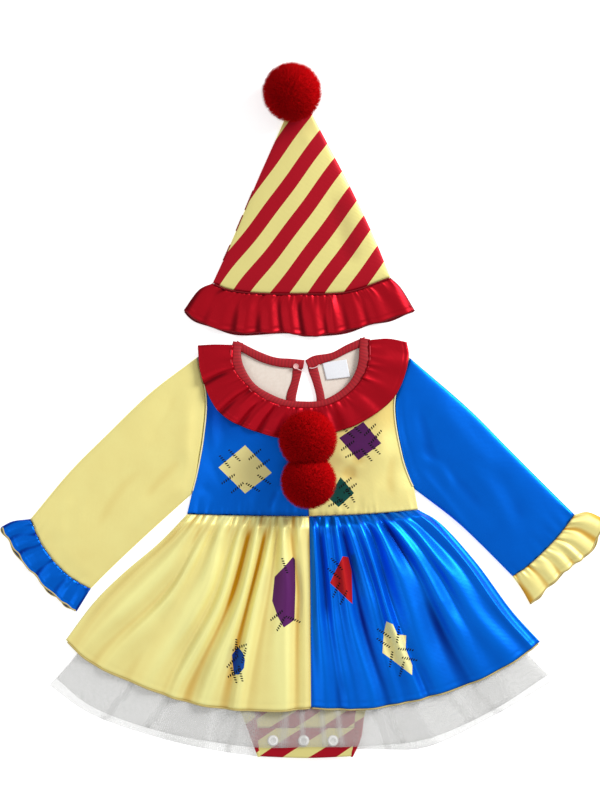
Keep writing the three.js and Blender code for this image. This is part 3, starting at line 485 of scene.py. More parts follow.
def fur(name, colour, shade_colour, bright):
    """Long-pile acrylic fur: each fibre darker at its root than at its tip, as painted shade deep in the
    pile.
    """
    made = material(name)
    tip = node(made, "ShaderNodeAttribute", attribute_name="tip")
    shade = node(made, "ShaderNodeAttribute", attribute_name="shade")
    tint = node(made, "ShaderNodeMix", [("Factor", tip, "Fac")], data_type="RGBA")
    tint.inputs[6].default_value = linear(shade_colour)
    tint.inputs[7].default_value = linear(colour)
    vary = node(made, "ShaderNodeMix", [("Factor", shade, "Fac"), (6, tint, 2)], data_type="RGBA")
    vary.inputs[7].default_value = linear(bright)
    shader = node(made, "ShaderNodeBsdfPrincipled", [("Base Color", vary, 2)],
                  Roughness=0.85, Specular_IOR_Level=0.05)
    return finish_with(made, shader)


# The second colour of each satin and the last of the print are painted shade for their folds.
YELLOW = satin("yellow_satin_woven", "#F6F0A0", "#C48A04", roughness=0.44, metal=0.25)
BLUE = satin("blue_satin_woven", "#0073F0", "#001C84", roughness=0.37, metal=0.72)
RED = satin("red_satin_woven", "#BC0E20", "#5A000A", roughness=0.37, metal=0.62)
WRONG_SIDE = plain("cream_wrong_side_of_satin", "#E8DED3", 0.75, 300.0, 0.25, shade="#D9CCBF")
WRONG_YELLOW = plain("pale_yellow_wrong_side_of_satin", "#D6CC94", 0.75, 300.0, 0.25)
WRONG_BLUE = plain("dull_blue_wrong_side_of_satin", "#1E52A6", 0.75, 300.0, 0.25)
WRONG_RED = plain("dull_red_wrong_side_of_satin", "#8E1F2A", 0.75, 300.0, 0.25)
STRIPES = striped("striped_satin_printed", "#A50A1E", "#E0D587", "#5A0610")
TULLE = tulle("white_tulle_net", "#D2D2D0")
# The rib's darker colour is painted shade in its troughs.
RIB = rib("red_rib_knit", "#A5121F", "#8E0E1A")
# A lighter red for the rib's raised folded edge: a painted highlight.
RIB_EDGE_HIGHLIGHT = plain("red_rib_edge_painted_highlight", "#CE4A55", 0.5, 500.0, 0.3, shade="#A81C2A")
# The fur's darker colour is painted shade at the fibre roots and in the core.
FUR = fur("red_fur_pile", "#B80006", "#7E0004", "#D2060C")
OVERLOCK = plain("beige_overlock_thread", "#D0C080", 0.7, 900.0, 0.8, shade="#A8925A")
OVERLOCK_RED = plain("red_overlock_thread", "#8A0A18", 0.7, 900.0, 0.8, shade="#5A0610")
# A pale yellow for the armhole seams' folded edges: a painted highlight.
SEAM_EDGE_HIGHLIGHT = plain("pale_yellow_seam_edge_painted_highlight", "#F4EEC4", 0.6, 500.0, 0.3, shade="#E2D89C")
INK = plain("black_print_ink", "#0C0C0C", 0.5)
LABEL = plain("white_woven_tape", "#E8EAEE", 0.7, 600.0, 0.3, shade="#DADDE2")
PLASTIC = plain("white_moulded_plastic", "#F2F1EE", 0.25, 80.0, 0.03, gloss=0.5)
PEARL = plain("pinkish_pearl_plastic", "#DDA9A6", 0.3, 80.0, 0.03, gloss=0.5)
THREAD = plain("pink_white_worked_thread", "#EFD6D6", 0.6, 900.0, 0.7, shade="#D8A8A8")
# The prints' second colours are painted shade for their folds.
PATCH = {
    "yellow": satin("yellow_print_on_satin", "#F0EAA4", "#C48A04", 0.45, 0.2),
    "purple": satin("purple_print_on_satin", "#5C2262", "#240A28", 0.45, 0.2),
    "green": satin("green_print_on_satin", "#124F48", "#04261F", 0.45, 0.2),
    "blue": satin("blue_print_on_satin", "#0A4AA8", "#001C66", 0.42, 0.3),
    "red": satin("red_print_on_satin", "#B41618", "#7A0608", 0.45, 0.2),
}

# ------------------------------------------------------------------ declaring pieces
PIECES = {}


def cloth(piece, nodes):
    """Puts a sheet in the frame and hides the frame's own parts that it stands for."""
    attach(piece, "root")
    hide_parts(*nodes)
    PIECES[piece.name] = piece
    return piece


def trim(piece, nodes=()):
    """Puts a small piece that isn't a sheet in the frame."""
    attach(piece, "root")
    if nodes:
        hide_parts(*nodes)
    PIECES[piece.name] = piece
    return piece


# ------------------------------------------------------------------ heights of the layers
def back_level(y):
    """How far the collar's back frill lifts the back of the bodice."""
    return (WALL + GAP) * smooth(42, 64, y)


def romper_cover(x, y):
    """1 over the romper, falling to 0 beyond its leg edges."""
    down = [-260, -250, -220, -201, -158, -88, -9]
    left = np.interp(y, down, [-50, -52, -56, -64, -84, -120, -112])
    right = np.interp(y, down, [44, 46, 53, 56, 75, 108, 98])
    inside = np.minimum(x - left, right - x)
    return smooth(-48, -1, inside)


def tulle_level(x, y):
    """Height of the front tulle: low over the back tulle, and lifted over the romper."""
    low_level, lift = 3.1, 4.0
    return low_level + lift * romper_cover(x, y) * smooth(-262, -252, y)


# ------------------------------------------------------------------ bodice
WAIST = {
    "left": [(-126.2, 1.1), (-60, -0.4), (0, -1)],
    "right": [(112.9, 6), (60, 1.5), (0, -1)],
}
ARMHOLE = {
    "left": [(-121.2, 22.2), (-115.5, 45.1), (-108.9, 83.1), (-106.4, 122.8), (-115, 163.7)],
    "right": [(108.8, 27.3), (104.2, 36.9), (95.9, 61.6), (88.5, 119.5), (104, 162.8)],
}
SIDE_SEAM = {
    "left": [(-126.2, 1.1), (-121.2, 22.2)],
    "right": [(112.9, 6), (108.8, 27.3)],
}
SHOULDER = {"left": [(-115, 163.7), (-77, 172.7)], "right": [(104, 162.8), (60, 179)]}
KEYHOLE_EDGE = {
    "left": [(-3, 99), (-16.5, 105.5), (-20.8, 120), (-15.2, 139), (-12, 154)],
    "right": [(-2.7, 99), (10, 105), (13.6, 118), (9.2, 140), (5, 154)],
}
BACK_NECK = {
    "left": [(-77, 172.7), (-66, 171), (-50, 161), (-34, 157), (-12, 154)],
    "right": [(60, 179), (49, 177), (38, 170), (27, 164.5), (5, 154)],
}
FRONT_NECK = {
    "left": [(-77, 172.7), (-76.5, 153), (-65, 137.5), (-46, 121.8), (-27, 114.4), (-6, 112)],
    "right": [(60, 179), (59.3, 155.7), (50.5, 137.5), (33.5, 121.8), (14.5, 113.6), (-6, 112)],
}
SIDES = ("left", "right")
BODICE = {"left": ("blue", BLUE, WRONG_BLUE), "right": ("yellow", YELLOW, WRONG_YELLOW)}

BACK_CREASES = [Crease(-60, 120, -52, 90, -58, 30, 9, 0.5), Crease(70, 118, 60, 80, 66, 26, 9, 0.5)]
BODICE_CREASES = {
    "left": [
        Crease(-108, 60, -92, 40, -88, 14, 6, 0.9),
        Crease(-116, 30, -100, 22, -84, 6, 5, 0.8),
        Crease(-40, 40, -52, 24, -60, 4, 7, 1.0),
        Crease(-30, 30, -38, 16, -42, 2, 4, -0.8),
        Crease(-100, 100, -80, 84, -50, 70, 8, 0.8),
        Crease(-104, 116, -100, 90, -98, 62, 6, -0.7),
    ],
    "right": [
        Crease(60, 66, 44, 48, 40, 34, 9, -1.6),
        Crease(78, 92, 70, 60, 56, 34, 9, 1.0),
        Crease(24, 66, 44, 54, 60, 44, 6, 0.8),
        Crease(88, 70, 84, 40, 88, 14, 7, -0.8),
        Crease(20, 10, 30, 6, 36, 0, 4, 0.7),
        Crease(74, 40, 64, 20, 60, 4, 6, 0.8),
    ],
}


def bodice_back(side):
    colour, satin_side, _ = BODICE[side]
    seam = [(0, -1), (-2.9, 99)]
    panel = Panel(
        Edge(SIDE_SEAM[side], ARMHOLE[side]), Edge(seam, KEYHOLE_EDGE[side]),
        Edge(WAIST[side]), Edge(SHOULDER[side], BACK_NECK[side]),
    )
    u, v, x, y = panel.grid(46, 56)
    width, length = 120, 170
    fold = creases(x, y, BACK_CREASES)
    fold = fold + gathers(u * width, v * length, width, spacing=7.5, rise=0.5, reach=12, seed=5)
    z = back_level(y) + SATIN + 0.25 + 0.5 * fold
    points = np.stack([x, y, z], -1)
    piece = shell(f"bodice_back_{colour}_cloth", points, SATIN, WRONG_SIDE, satin_side)
    cloth(piece, [f"bodice_back_{colour}"])


def bodice_front(side):
    colour, satin_side, wrong_side = BODICE[side]
    seam = [(0, -1), (-6, 112)]
    panel = Panel(
        Edge(SIDE_SEAM[side], ARMHOLE[side]), Edge(seam), Edge(WAIST[side]),
        Edge(SHOULDER[side], FRONT_NECK[side]),
    )
    u, v, x, y = panel.grid(96, 96)
    clear = mix(2.2, 3.4, smooth(0, 0.15, v))
    shoulder = 1 - smooth(0.75, 1, v) * (1 - smooth(0.22, 0.46, u))
    z = back_level(y) + WALL + GAP + clear * smooth(0, 0.2, u) ** 0.6 * shoulder + SATIN + 0.2
    width = 118.0
    above_waist = y + 1
    from_centre = (1 - u) * width
    fold = creases(x, y, BODICE_CREASES[side])
    seed, collar_shade = (11, 0.5) if side == "left" else (12, 0.26)
    fold = fold + gathers(u * width, y - 1, width, spacing=5.2, rise=1.0, reach=9, seed=seed)
    z = z + fold * smooth(0, 0.08, u)
    z = z - 0.9 * smooth(5, 0, above_waist) - 0.7 * np.exp(-(from_centre / 1.6) ** 2)
    # painted shade: darker in the creases' troughs, above the waist seam, along the left side's centre seam
    # and below the collar
    fold_shade = np.clip(0.28 * smooth(0.1, 1.4, -fold) + 0.3 * smooth(7, 0, above_waist), 0, 1)
    fold_shade = np.maximum(fold_shade, 0.35 * smooth(4, 0, from_centre) * (side == "left"))
    fold_shade = np.maximum(fold_shade, smooth(66, 112, y) * collar_shade)
    points = np.stack([x, y, z], -1)
    return shell(f"bodice_front_{colour}_cloth", points, SATIN, satin_side, wrong_side, fold_shade=fold_shade)


def armhole_edge(side):
    """The folded edge of the armhole seam, standing a little above both cloths, coloured pale as a painted
    highlight.
    """
    line = Edge(ARMHOLE[side])(np.linspace(0.02, 0.8, 90))
    piece = PIECES[f"bodice_front_{BODICE[side][0]}_cloth"]
    inward = 1.2 if side == "left" else -1.2
    z = height_on(piece, line[:, 0] + inward, line[:, 1]) + 0.35
    trim(cord(f"armhole_seam_edge_{side}", np.c_[line, z], 0.75, SEAM_EDGE_HIGHLIGHT))


def collar_back(side):
    panels = {
        "left": Panel(
            Edge([(-81, 172), (-98, 173), (-114.5, 174.5)]), Edge([(-24.6, 148), (-27, 112), (-25, 79)]),
            Edge([(-81, 172), (-66, 166.5), (-50, 156.5), (-24.6, 148)]),
            Edge([(-114.5, 174.5), (-101, 150), (-96, 118), (-72, 96), (-25, 79)]),
        ),
        "right": Panel(
            Edge([(64, 178.5), (82, 181.5), (100, 177.5)]), Edge([(15.6, 150), (18, 112), (17, 82)]),
            Edge([(64, 178.5), (49, 172.5), (38, 165.5), (15.6, 150)]),
            Edge([(100, 177.5), (90, 150), (80, 118), (58, 99), (17, 82)]),
        ),
    }
    u, v, x, y = panels[side].grid(60, 30)
    waves = 0.35 * (1 + np.sin(u * 21 + 0.8 * np.sin(u * 9)))
    z = SATIN + 0.1 + waves * (0.4 + 0.6 * v)
    piece = shell(f"collar_back_cloth_{side}", np.stack([x, y, z], -1), SATIN, WRONG_RED, RED)
    cloth(piece, [f"collar_frill_back_{side}"])


# ------------------------------------------------------------------ sleeves
TUBE_MIDDLE = 1.35  # height of the two side folds of a sleeve or hat that lies flat


def tube_grid(panel, across, along, squareness):
    """A grid over a flat tube, finer at its side folds, and how far it has rounded up from them."""
    turn = (1 - np.cos(np.pi * np.linspace(0, 1, across + 1))) / 2
    u, v = np.meshgrid(turn, np.linspace(0, 1, along + 1))
    place = panel(u, v)
    rounded = np.sqrt(np.clip(1 - np.abs(2 * u - 1) ** squareness, 0, 1))
    return u, v, place[..., 0], place[..., 1], rounded


SLEEVE = {
    "left": dict(
        name="sleeve_yellow", slot="yellow_satin", outside=YELLOW, inside=WRONG_YELLOW,
        top=[(-115, 163.9), (-162.9, 127.6), (-209.2, 83.3), (-246.2, 46.2), (-288.4, -4.3)],
        bottom=[(-121.6, 21.8), (-172.1, -24), (-209.2, -59.2), (-226.2, -76.4)],
        armhole=[(-115, 163.9), (-106.4, 122.8), (-109.2, 83), (-115.9, 45), (-121.6, 21.8)],
        cuff=[(-288.4, -4.3), (-274.5, -33.8), (-250.4, -61.6), (-226.2, -76.4)],
        creases=[
            Crease(-150, 132, -190, 78, -244, 20, 13, 1.7),
            Crease(-244, 24, -256, -2, -256, -30, 9, 1.6),
            Crease(-122, 120, -128, 80, -126, 46, 8, 1.3),
            Crease(-118, 70, -150, 40, -176, 8, 8, -1.1),
            Crease(-125, 36, -150, 18, -186, -22, 7, 1.3),
            Crease(-160, 60, -200, 20, -226, -30, 9, -1.0),
            Crease(-200, 60, -230, 20, -246, -40, 7, 0.9),
            Crease(-130, 140, -150, 100, -170, 74, 8, -0.9),
        ],
    ),
    "right": dict(
        name="sleeve_blue", slot="blue_satin", outside=BLUE, inside=WRONG_BLUE,
        top=[(104, 163), (166.1, 109.2), (203.1, 72.1), (240, 35.1), (274.8, 0.6)],
        bottom=[(109.2, 26.9), (151.3, -5.6), (175.3, -27.8), (210.8, -63.4)],
        armhole=[(104, 163), (88.7, 119.5), (96.2, 61.7), (104.6, 37), (109.2, 26.9)],
        cuff=[(274.8, 0.6), (255.4, -24.3), (225.6, -53), (210.8, -63.4)],
        creases=[
            Crease(98, 140, 96, 100, 104, 62, 5, 1.8),
            Crease(106, 54, 140, 14, 172, -30, 6, 1.5),
            Crease(112, 120, 122, 80, 128, 40, 8, -1.2),
            Crease(122, 130, 160, 80, 210, 28, 12, 1.3),
            Crease(114, 70, 150, 40, 196, -10, 9, -1.1),
            Crease(110, 60, 134, 50, 150, 22, 6, 1.2),
            Crease(180, 60, 210, 20, 226, -24, 9, -0.9),
            Crease(150, 70, 186, 26, 214, -30, 8, 0.8),
        ],
    ),
}


def sleeve(side):
    s = SLEEVE[side]
    panel = Panel(Edge(s["top"]), Edge(s["bottom"]), Edge(s["armhole"]), Edge(s["cuff"]))
    u, v, x, y, rounded = tube_grid(panel, 50, 76, 26)
    width, length = 92, 240
    pressed = mix(0.35, 1, smooth(0, 0.12, v) * (1 - smooth(0.9, 1, v)))
    seed = 21 if side == "left" else 22
    fold = creases(x, y, s["creases"])
    fold = fold + gathers(u * width, (1 - v) * length, width, spacing=6.5, rise=0.9, reach=14, seed=seed)
    crown = 2.7 + 3.0 * np.sin(np.pi * u) ** 0.6 * pressed + fold * smooth(0, 0.1, v)
    seams = smooth(0, 0.012, v) * smooth(1, 0.985, v)
    top = TUBE_MIDDLE + (np.maximum(crown, 1.6) * mix(0.72, 1, seams) - TUBE_MIDDLE) * rounded
    large = [c._replace(rise=abs(c.rise)) for c in s["creases"][:4]]
    under_fold = np.minimum(0.45 * creases(x, y, large), 0.7)
    bottom = TUBE_MIDDLE - TUBE_MIDDLE * rounded + under_fold * rounded
    ring = ring_of(np.stack([x, y, top], -1), np.stack([x, y, bottom], -1))
    # painted shade in the troughs of the creases
    hollow_shading = 0.16 * smooth(0.5, 1.4, -fold)
    fold_shade = ring_of(hollow_shading, np.zeros_like(hollow_shading))
    piece = shell(s["name"] + "_cloth", ring, SATIN, s["outside"], s["inside"], wrap=True, fold_shade=fold_shade)
    cloth(piece, [s["name"]])


# ------------------------------------------------------------------ gathered frills that go round
# A ridge or trough of a frill: where it starts at the seam and ends at the hem, as shares of
# the length, and how far it stands up.
Fold = namedtuple("Fold", "seam hem rise")
FRILL_MIDDLE = 1.3  # height of the two side folds of a frill that lies flat

CUFF = {
    "left": dict(
        name="cuff_frill_blue", slot="blue_satin", outside=BLUE, inside=WRONG_BLUE,
        seam=[(-288.2, -4), (-274.2, -33.6), (-250, -61.3), (-225.9, -76.2)],
        hem=[(-318.3, -12), (-301.6, -38.9), (-268.3, -77.7), (-240.6, -99.9)],
        start=[(-288.2, -4), (-307.2, -6.5), (-318.3, -12)], finish=[(-225.9, -76.2), (-240.6, -99.9)],
        folds=[
            Fold(0, 0, 0), Fold(0.08, 0.07, 2.4), Fold(0.15, 0.13, 0.4), Fold(0.23, 0.22, 2.2),
            Fold(0.3, 0.28, 0.2), Fold(0.36, 0.36, 2.8), Fold(0.42, 0.44, 3.2), Fold(0.5, 0.52, 0.2),
            Fold(0.6, 0.62, 3), Fold(0.72, 0.75, 0.6), Fold(0.8, 0.84, 2.4), Fold(0.88, 0.9, 0.8),
            Fold(0.94, 0.95, 1.8), Fold(1, 1, 0),
        ],
        waves=3.2, seed=31,
    ),
    "right": dict(
        name="cuff_frill_yellow", slot="yellow_satin", outside=YELLOW, inside=WRONG_YELLOW,
        seam=[(274.6, 0.5), (255.2, -24.3), (225.4, -53), (210.6, -63.2)],
        hem=[(305.6, -4), (291.8, -35.1), (260.5, -61), (229, -92.5)],
        start=[(274.6, 0.5), (288, 3.2), (305.6, -4)], finish=[(210.6, -63.2), (221, -78), (229, -92.5)],
        folds=[
            Fold(0, 0, 0), Fold(0.1, 0.1, 2.2), Fold(0.2, 0.2, 0.3), Fold(0.29, 0.31, 2.4),
            Fold(0.35, 0.37, 0.6), Fold(0.39, 0.42, 3), Fold(0.45, 0.48, 0.3), Fold(0.52, 0.55, 2.8),
            Fold(0.6, 0.63, 0.4), Fold(0.7, 0.7, 2.6), Fold(0.79, 0.78, 0.5), Fold(0.88, 0.87, 1.8),
            Fold(1, 1, 0),
        ],
        waves=2.6, seed=32,
    ),
}
HAT_FRILL = dict(
    name="hat_frill", slot="red_satin", outside=RED, inside=WRONG_RED,
    seam=[(-99.9, 240), (-87, 234), (-61.1, 229.9), (-9.3, 228.8), (40.4, 230.9), (84.4, 245.7)],
    hem=[(-129.5, 212.4), (-113, 200), (-78.7, 189.6), (-19.7, 188.6), (-4.1, 185.4), (26.9, 188.6),
         (68.4, 198.9), (109.8, 211.3)],
    start=[(-99.9, 240), (-113, 234), (-129.5, 212.4)],
    finish=[(84.4, 245.7), (94.3, 236.2), (109.8, 211.3)],
    folds=[
        Fold(0, 0, 0), Fold(0.05, 0.05, 1.8), Fold(0.09, 0.1, 0.6), Fold(0.14, 0.17, 2.4),
        Fold(0.19, 0.23, 0.3), Fold(0.24, 0.28, 3), Fold(0.29, 0.33, 0.2), Fold(0.34, 0.39, 3.2),
        Fold(0.38, 0.43, 0.3),
        Fold(0.43, 0.48, 3), Fold(0.48, 0.52, 0.2), Fold(0.54, 0.58, 3.2), Fold(0.6, 0.62, 0.3),
        Fold(0.65, 0.66, 3), Fold(0.7, 0.71, 0.5), Fold(0.76, 0.76, 2.4), Fold(0.8, 0.8, 0.6),
        Fold(0.85, 0.85, 2.8), Fold(0.91, 0.92, 0.8), Fold(0.95, 0.96, 1.8), Fold(1, 1, 0),
    ],
    waves=2.8, seed=33,
)


def round_frill(f, across, out, spacing):
    """A flattened gathered tube: pleated front, flatter back showing just past the hem."""
    seam, hem = Edge(f["seam"]), Edge(f["hem"])
    panel = Panel(Edge(f["start"]), Edge(f["finish"]), seam, hem)
    turn = np.linspace(0, 1, across + 1)
    turn = mix(turn, (1 - np.cos(np.pi * turn)) / 2, 0.35)
    u, v = np.meshgrid(turn, np.linspace(0, 1, out + 1))
    place = panel(u, v)
    x, y = place[..., 0], place[..., 1]
    folds = f["folds"]
    centres = [np.array([mix(k.seam, k.hem, t) for k in folds]) for t in v[:, 0]]
    rises = [np.array([k.rise for k in folds])] * len(centres)
    wave = pleated(u, centres, rises) * mix(0.35, 1, smooth(0, 0.55, v))
    depth = (Edge(f["start"]).length + Edge(f["finish"]).length) / 2
    length = seam.length
    pucker = gathers(u * length, v * depth, length, spacing, 1.5, depth * 0.32, f["seed"])
    stitch = 0.45 * np.exp(-(((1 - v) * depth - 4) / 0.9) ** 2)  # the hem's seam, 4 mm up
    rounded = np.sqrt(np.clip(1 - np.abs(2 * u - 1) ** 40, 0, 1))
    top = FRILL_MIDDLE + (1.5 + wave + pucker - stitch - 1.3 * smooth(0.06, 0, v)) * rounded
    bottom = FRILL_MIDDLE - FRILL_MIDDLE * rounded
    outward = place - panel(u, np.clip(v - 0.02, 0, 1))
    outward = outward / np.maximum(np.linalg.norm(outward, axis=-1, keepdims=True), 1e-9)
    # each layer's hem swings in and out, the front's with its folds
    swing = (wave - 1.4) * 0.5 * smooth(0.5, 1, v) * (rounded > 0.5)
    back_swing = (0.45 + 0.4 * np.sin(u * 23 + 2 * np.sin(u * 7))) * rounded
    back_swing = f["waves"] * smooth(0.6, 1, v) * back_swing
    front = np.stack([x + outward[..., 0] * swing, y + outward[..., 1] * swing, top], -1)
    back = np.stack([x + outward[..., 0] * back_swing, y + outward[..., 1] * back_swing, bottom], -1)
    # painted shade: darker in the troughs and by the seam, and a little all over the back layer
    hollow_shading = np.clip(0.75 * smooth(1.1, 0.1, wave + pucker) + 0.25 * smooth(0.1, 0, v), 0, 1)
    fold_shade = ring_of(hollow_shading, np.full_like(hollow_shading, 0.2))
    piece = shell(f["name"] + "_cloth", ring_of(front, back), SATIN, f["outside"], f["inside"],
                  wrap=True, fold_shade=fold_shade)
    return piece, {"front": front[-1], "back": back[-1]}


def frill_overlock(f, hems, lift, radius, thread):
    """The thread that binds the raw hem of each layer of a frill."""
    for layer, line in hems.items():
        middle = line[2:-2] + [0, 0, lift[layer]]
        trim(cord(f"{f['name']}_overlock_{layer}", middle, radius, thread))


def cuff_frill(side):
    f = CUFF[side]
    piece, hems = round_frill(f, 110, 28, 4.4)
    cloth(piece, [f["name"]])
    frill_overlock(f, hems, {"front": -0.1, "back": 0.75}, 0.75, OVERLOCK)


def hat_frill():
    piece, hems = round_frill(HAT_FRILL, 190, 30, 4.6)
    cloth(piece, ["hat_frill"])
    frill_overlock(HAT_FRILL, hems, {"front": -0.1, "back": 0.65}, 0.6, OVERLOCK_RED)


# ------------------------------------------------------------------ hat cone
HAT = dict(
    left=[(-99.5, 240.4), (-83.9, 274.5), (-50.8, 352.2), (-30, 398.9), (-21, 420.5)],
    right=[(84.2, 246), (68.4, 284.9), (42.5, 339.8), (11.4, 398.9), (0.5, 420.5)],
    brim=[(-99.5, 240.4), (-87, 234.4), (-61.1, 230.2), (-9.3, 229.1), (40.4, 231.2), (84.2, 246)],
    tip=[(-21, 420.5), (0.5, 420.5)],
)
HAT_CREASES = [
    Crease(-60, 250, -50, 290, -38, 340, 14, 0.7), Crease(50, 250, 40, 290, 20, 350, 14, -0.6),
    Crease(-20, 240, -18, 290, -14, 360, 16, 0.6), Crease(-30, 380, -8, 392, 4, 384, 5, 0.5),
]

# The print's slanting stripes: their angle, the millimetres across them from one yellow to the
# next, and which stripe lies at the middle of the waist.
Stripes = namedtuple("Stripes", "angle pitch start")
HAT_STRIPES = Stripes(54, 29.84, 8.566)
ROMPER_STRIPES = Stripes(33, 29.0, 34.42)
PLACKET_STRIPES = Stripes(33, 29.0, 33.77)
CASING_STRIPES = Stripes(33, 60.0, 20.58)


def stripe_phase(x, y, stripes):
    """Which stripe a place lies in: its share is yellow from 0.5 up and red below."""
    angle = math.radians(stripes.angle)
    return (x * math.sin(angle) - y * math.cos(angle)) / stripes.pitch + stripes.start


def print_stripes(piece, stripes, bend=0.0, corner=(0, 0)):
    """Gives each point of the cloth its place in the print, with a bend near one corner."""
    place = np.array([v.co for v in piece.data.vertices]) / MM - SHIFT
    x, y = place[:, 0], place[:, 1]
    reach = 45
    pull = bend * np.exp(-((x - corner[0]) ** 2 + (y - corner[1]) ** 2) / reach ** 2)
    ripple = 0.02 * np.sin(x / 14) * np.sin(y / 17)
    attribute(piece, "stripe", stripe_phase(x, y, stripes) + pull + ripple)


def hat_cone():
    panel = Panel(Edge(HAT["left"]), Edge(HAT["right"]), Edge(HAT["brim"]), Edge(HAT["tip"]))
    u, v, x, y, rounded = tube_grid(panel, 50, 70, 20)
    crown = mix(0.6, 1, smooth(0, 0.1, v)) * (1 - 0.6 * smooth(0.6, 1, v))
    crown = 3.0 * np.sin(np.pi * u) ** 0.6 * crown
    fold = creases(x, y, HAT_CREASES)
    top = TUBE_MIDDLE + (TUBE_MIDDLE + crown + fold - 0.9 * smooth(0.02, 0, v)) * rounded
    bottom = TUBE_MIDDLE - TUBE_MIDDLE * rounded
    ring = ring_of(np.stack([x, y, top], -1), np.stack([x, y, bottom], -1))
    # painted shade in the troughs of the creases
    hollow_shading = 0.3 * smooth(0.2, 0.8, -fold)
    fold_shade = ring_of(hollow_shading, np.zeros_like(hollow_shading))
    piece = shell("hat_cone_cloth", ring, SATIN, STRIPES, WRONG_SIDE, wrap=True, fold_shade=fold_shade)
    print_stripes(piece, HAT_STRIPES, 0.14, (-80, 240))
    cloth(piece, ["hat_cone"])
    left = Edge(HAT["left"])
    brim = Edge(HAT["brim"])(np.linspace(0.01, 0.99, 120))
    seam = cord("hat_brim_seam", np.c_[brim - [0, 0.5], np.full(len(brim), 4.0)], 0.8, OVERLOCK_RED)
    trim(seam)
    # the back's own red stripes show as dashes where the cloth folds round the left edge
    for k, (start, stop) in enumerate([(0.13, 0.22), (0.3, 0.39), (0.42, 0.53)]):
        line = left(np.linspace(start, stop, 14))
        dash = cord(f"hat_edge_stripe_{k + 1}", np.c_[line, np.full(len(line), 1.6)], 0.7, OVERLOCK_RED)
        trim(dash)


# ------------------------------------------------------------------ skirt
SKIRT = {
    "left": dict(
        colour="yellow", outside=YELLOW, inside=WRONG_YELLOW,
        side=[(-126.2, 0.9), (-154.9, -28.5), (-193.2, -61.1), (-222, -89.8), (-251.6, -129.1)],
        waist=[(-126.2, 0.8), (-60, -0.7), (0, -1.3)],
        seam=[(0, -1.3), (1.2, -60), (2.0, -198.1)],
        hem=[(-251.6, -129.1), (-225.8, -151.2), (-183.7, -171.3), (-116.6, -194.3), (-40, -201),
             (2.0, -198.1)],
    ),
    "right": dict(
        colour="blue", outside=BLUE, inside=WRONG_BLUE,
        side=[(112.9, 5.7), (133.6, -6.5), (171.9, -47.7), (210.2, -99.5), (239, -131.1)],
        waist=[(112.9, 5.7), (60, 1.2), (0, -1.3)],
        seam=[(0, -1.3), (1.2, -60), (2.0, -198.1)],
        hem=[(239, -131.1), (210.2, -151.2), (171.9, -171.3), (114.5, -189.5), (57, -199),
             (2.0, -198.1)],
    ),
}
# A ridge or trough from the side seam to the centre seam: where it leaves the waist,
# crosses mid-length and meets the hem as shares of the width, and how far it stands up.
Pleat = namedtuple("Pleat", "waist middle hem rise")
PLEATS = {
    "left": [
        Pleat(0, 0, 0, 0), Pleat(0.03, 0.022, 0.018, 0.3), Pleat(0.065, 0.05, 0.04, 0.6),
        Pleat(0.12, 0.14, 0.08, 3.2), Pleat(0.18, 0.24, 0.14, 0.4), Pleat(0.24, 0.28, 0.19, 3.2),
        Pleat(0.28, 0.33, 0.28, 0.6), Pleat(0.34, 0.43, 0.36, 4.4), Pleat(0.43, 0.48, 0.43, 0.6),
        Pleat(0.48, 0.53, 0.47, 4.6), Pleat(0.55, 0.575, 0.52, -1.0), Pleat(0.61, 0.635, 0.59, 6.0),
        Pleat(0.67, 0.67, 0.67, -0.8), Pleat(0.72, 0.71, 0.715, 4.6), Pleat(0.76, 0.77, 0.76, 0.4),
        Pleat(0.8, 0.87, 0.9, 5.4), Pleat(0.86, 0.935, 0.945, 0.0), Pleat(0.93, 0.97, 0.975, 2.2),
        Pleat(1, 1, 1, 0.2),
    ],
    "right": [
        Pleat(0, 0, 0, 0), Pleat(0.03, 0.022, 0.018, 0.3), Pleat(0.065, 0.05, 0.035, 2.4),
        Pleat(0.16, 0.09, 0.06, 0.6), Pleat(0.21, 0.18, 0.14, 5.0), Pleat(0.27, 0.23, 0.21, 1.4),
        Pleat(0.33, 0.29, 0.28, 4.2), Pleat(0.385, 0.35, 0.345, -0.8), Pleat(0.45, 0.46, 0.46, 4.8),
        Pleat(0.51, 0.545, 0.51, 0.0), Pleat(0.58, 0.58, 0.55, 6.0), Pleat(0.64, 0.62, 0.61, 1.2),
        Pleat(0.68, 0.655, 0.64, 3.0), Pleat(0.735, 0.725, 0.68, -0.6), Pleat(0.78, 0.79, 0.74, 5.2),
        Pleat(0.83, 0.84, 0.81, 1.4), Pleat(0.87, 0.87, 0.84, 2.8), Pleat(0.92, 0.91, 0.88, -0.4),
        Pleat(0.96, 0.955, 0.935, 4.2), Pleat(1, 1, 1, 0.2),
    ],
}


def skirt_panel(side):
    s = SKIRT[side]
    return Panel(Edge(s["side"]), Edge(s["seam"]), Edge(s["waist"]), Edge(s["hem"]))


def pleat_height(side, u, v):
    """Height of the skirt's pleats: small at the waist's gathers, full below, softer at the hem."""
    pleats = PLEATS[side]
    halfway = 0.45
    centres = []
    for t in v[:, 0]:
        upper, lower = smooth(0, halfway, t), smooth(halfway, 1, t)
        centres.append(np.array([mix(mix(p.waist, p.middle, upper), p.hem, lower) for p in pleats]))
    rises = [np.array([p.rise for p in pleats])] * len(centres)
    fade = np.interp(v, [0, 0.05, 0.12, 0.25, 0.45, 0.7, 1], [0.1, 0.5, 0.85, 1, 1, 0.85, 0.6])
    return pleated(u, centres, rises) * fade


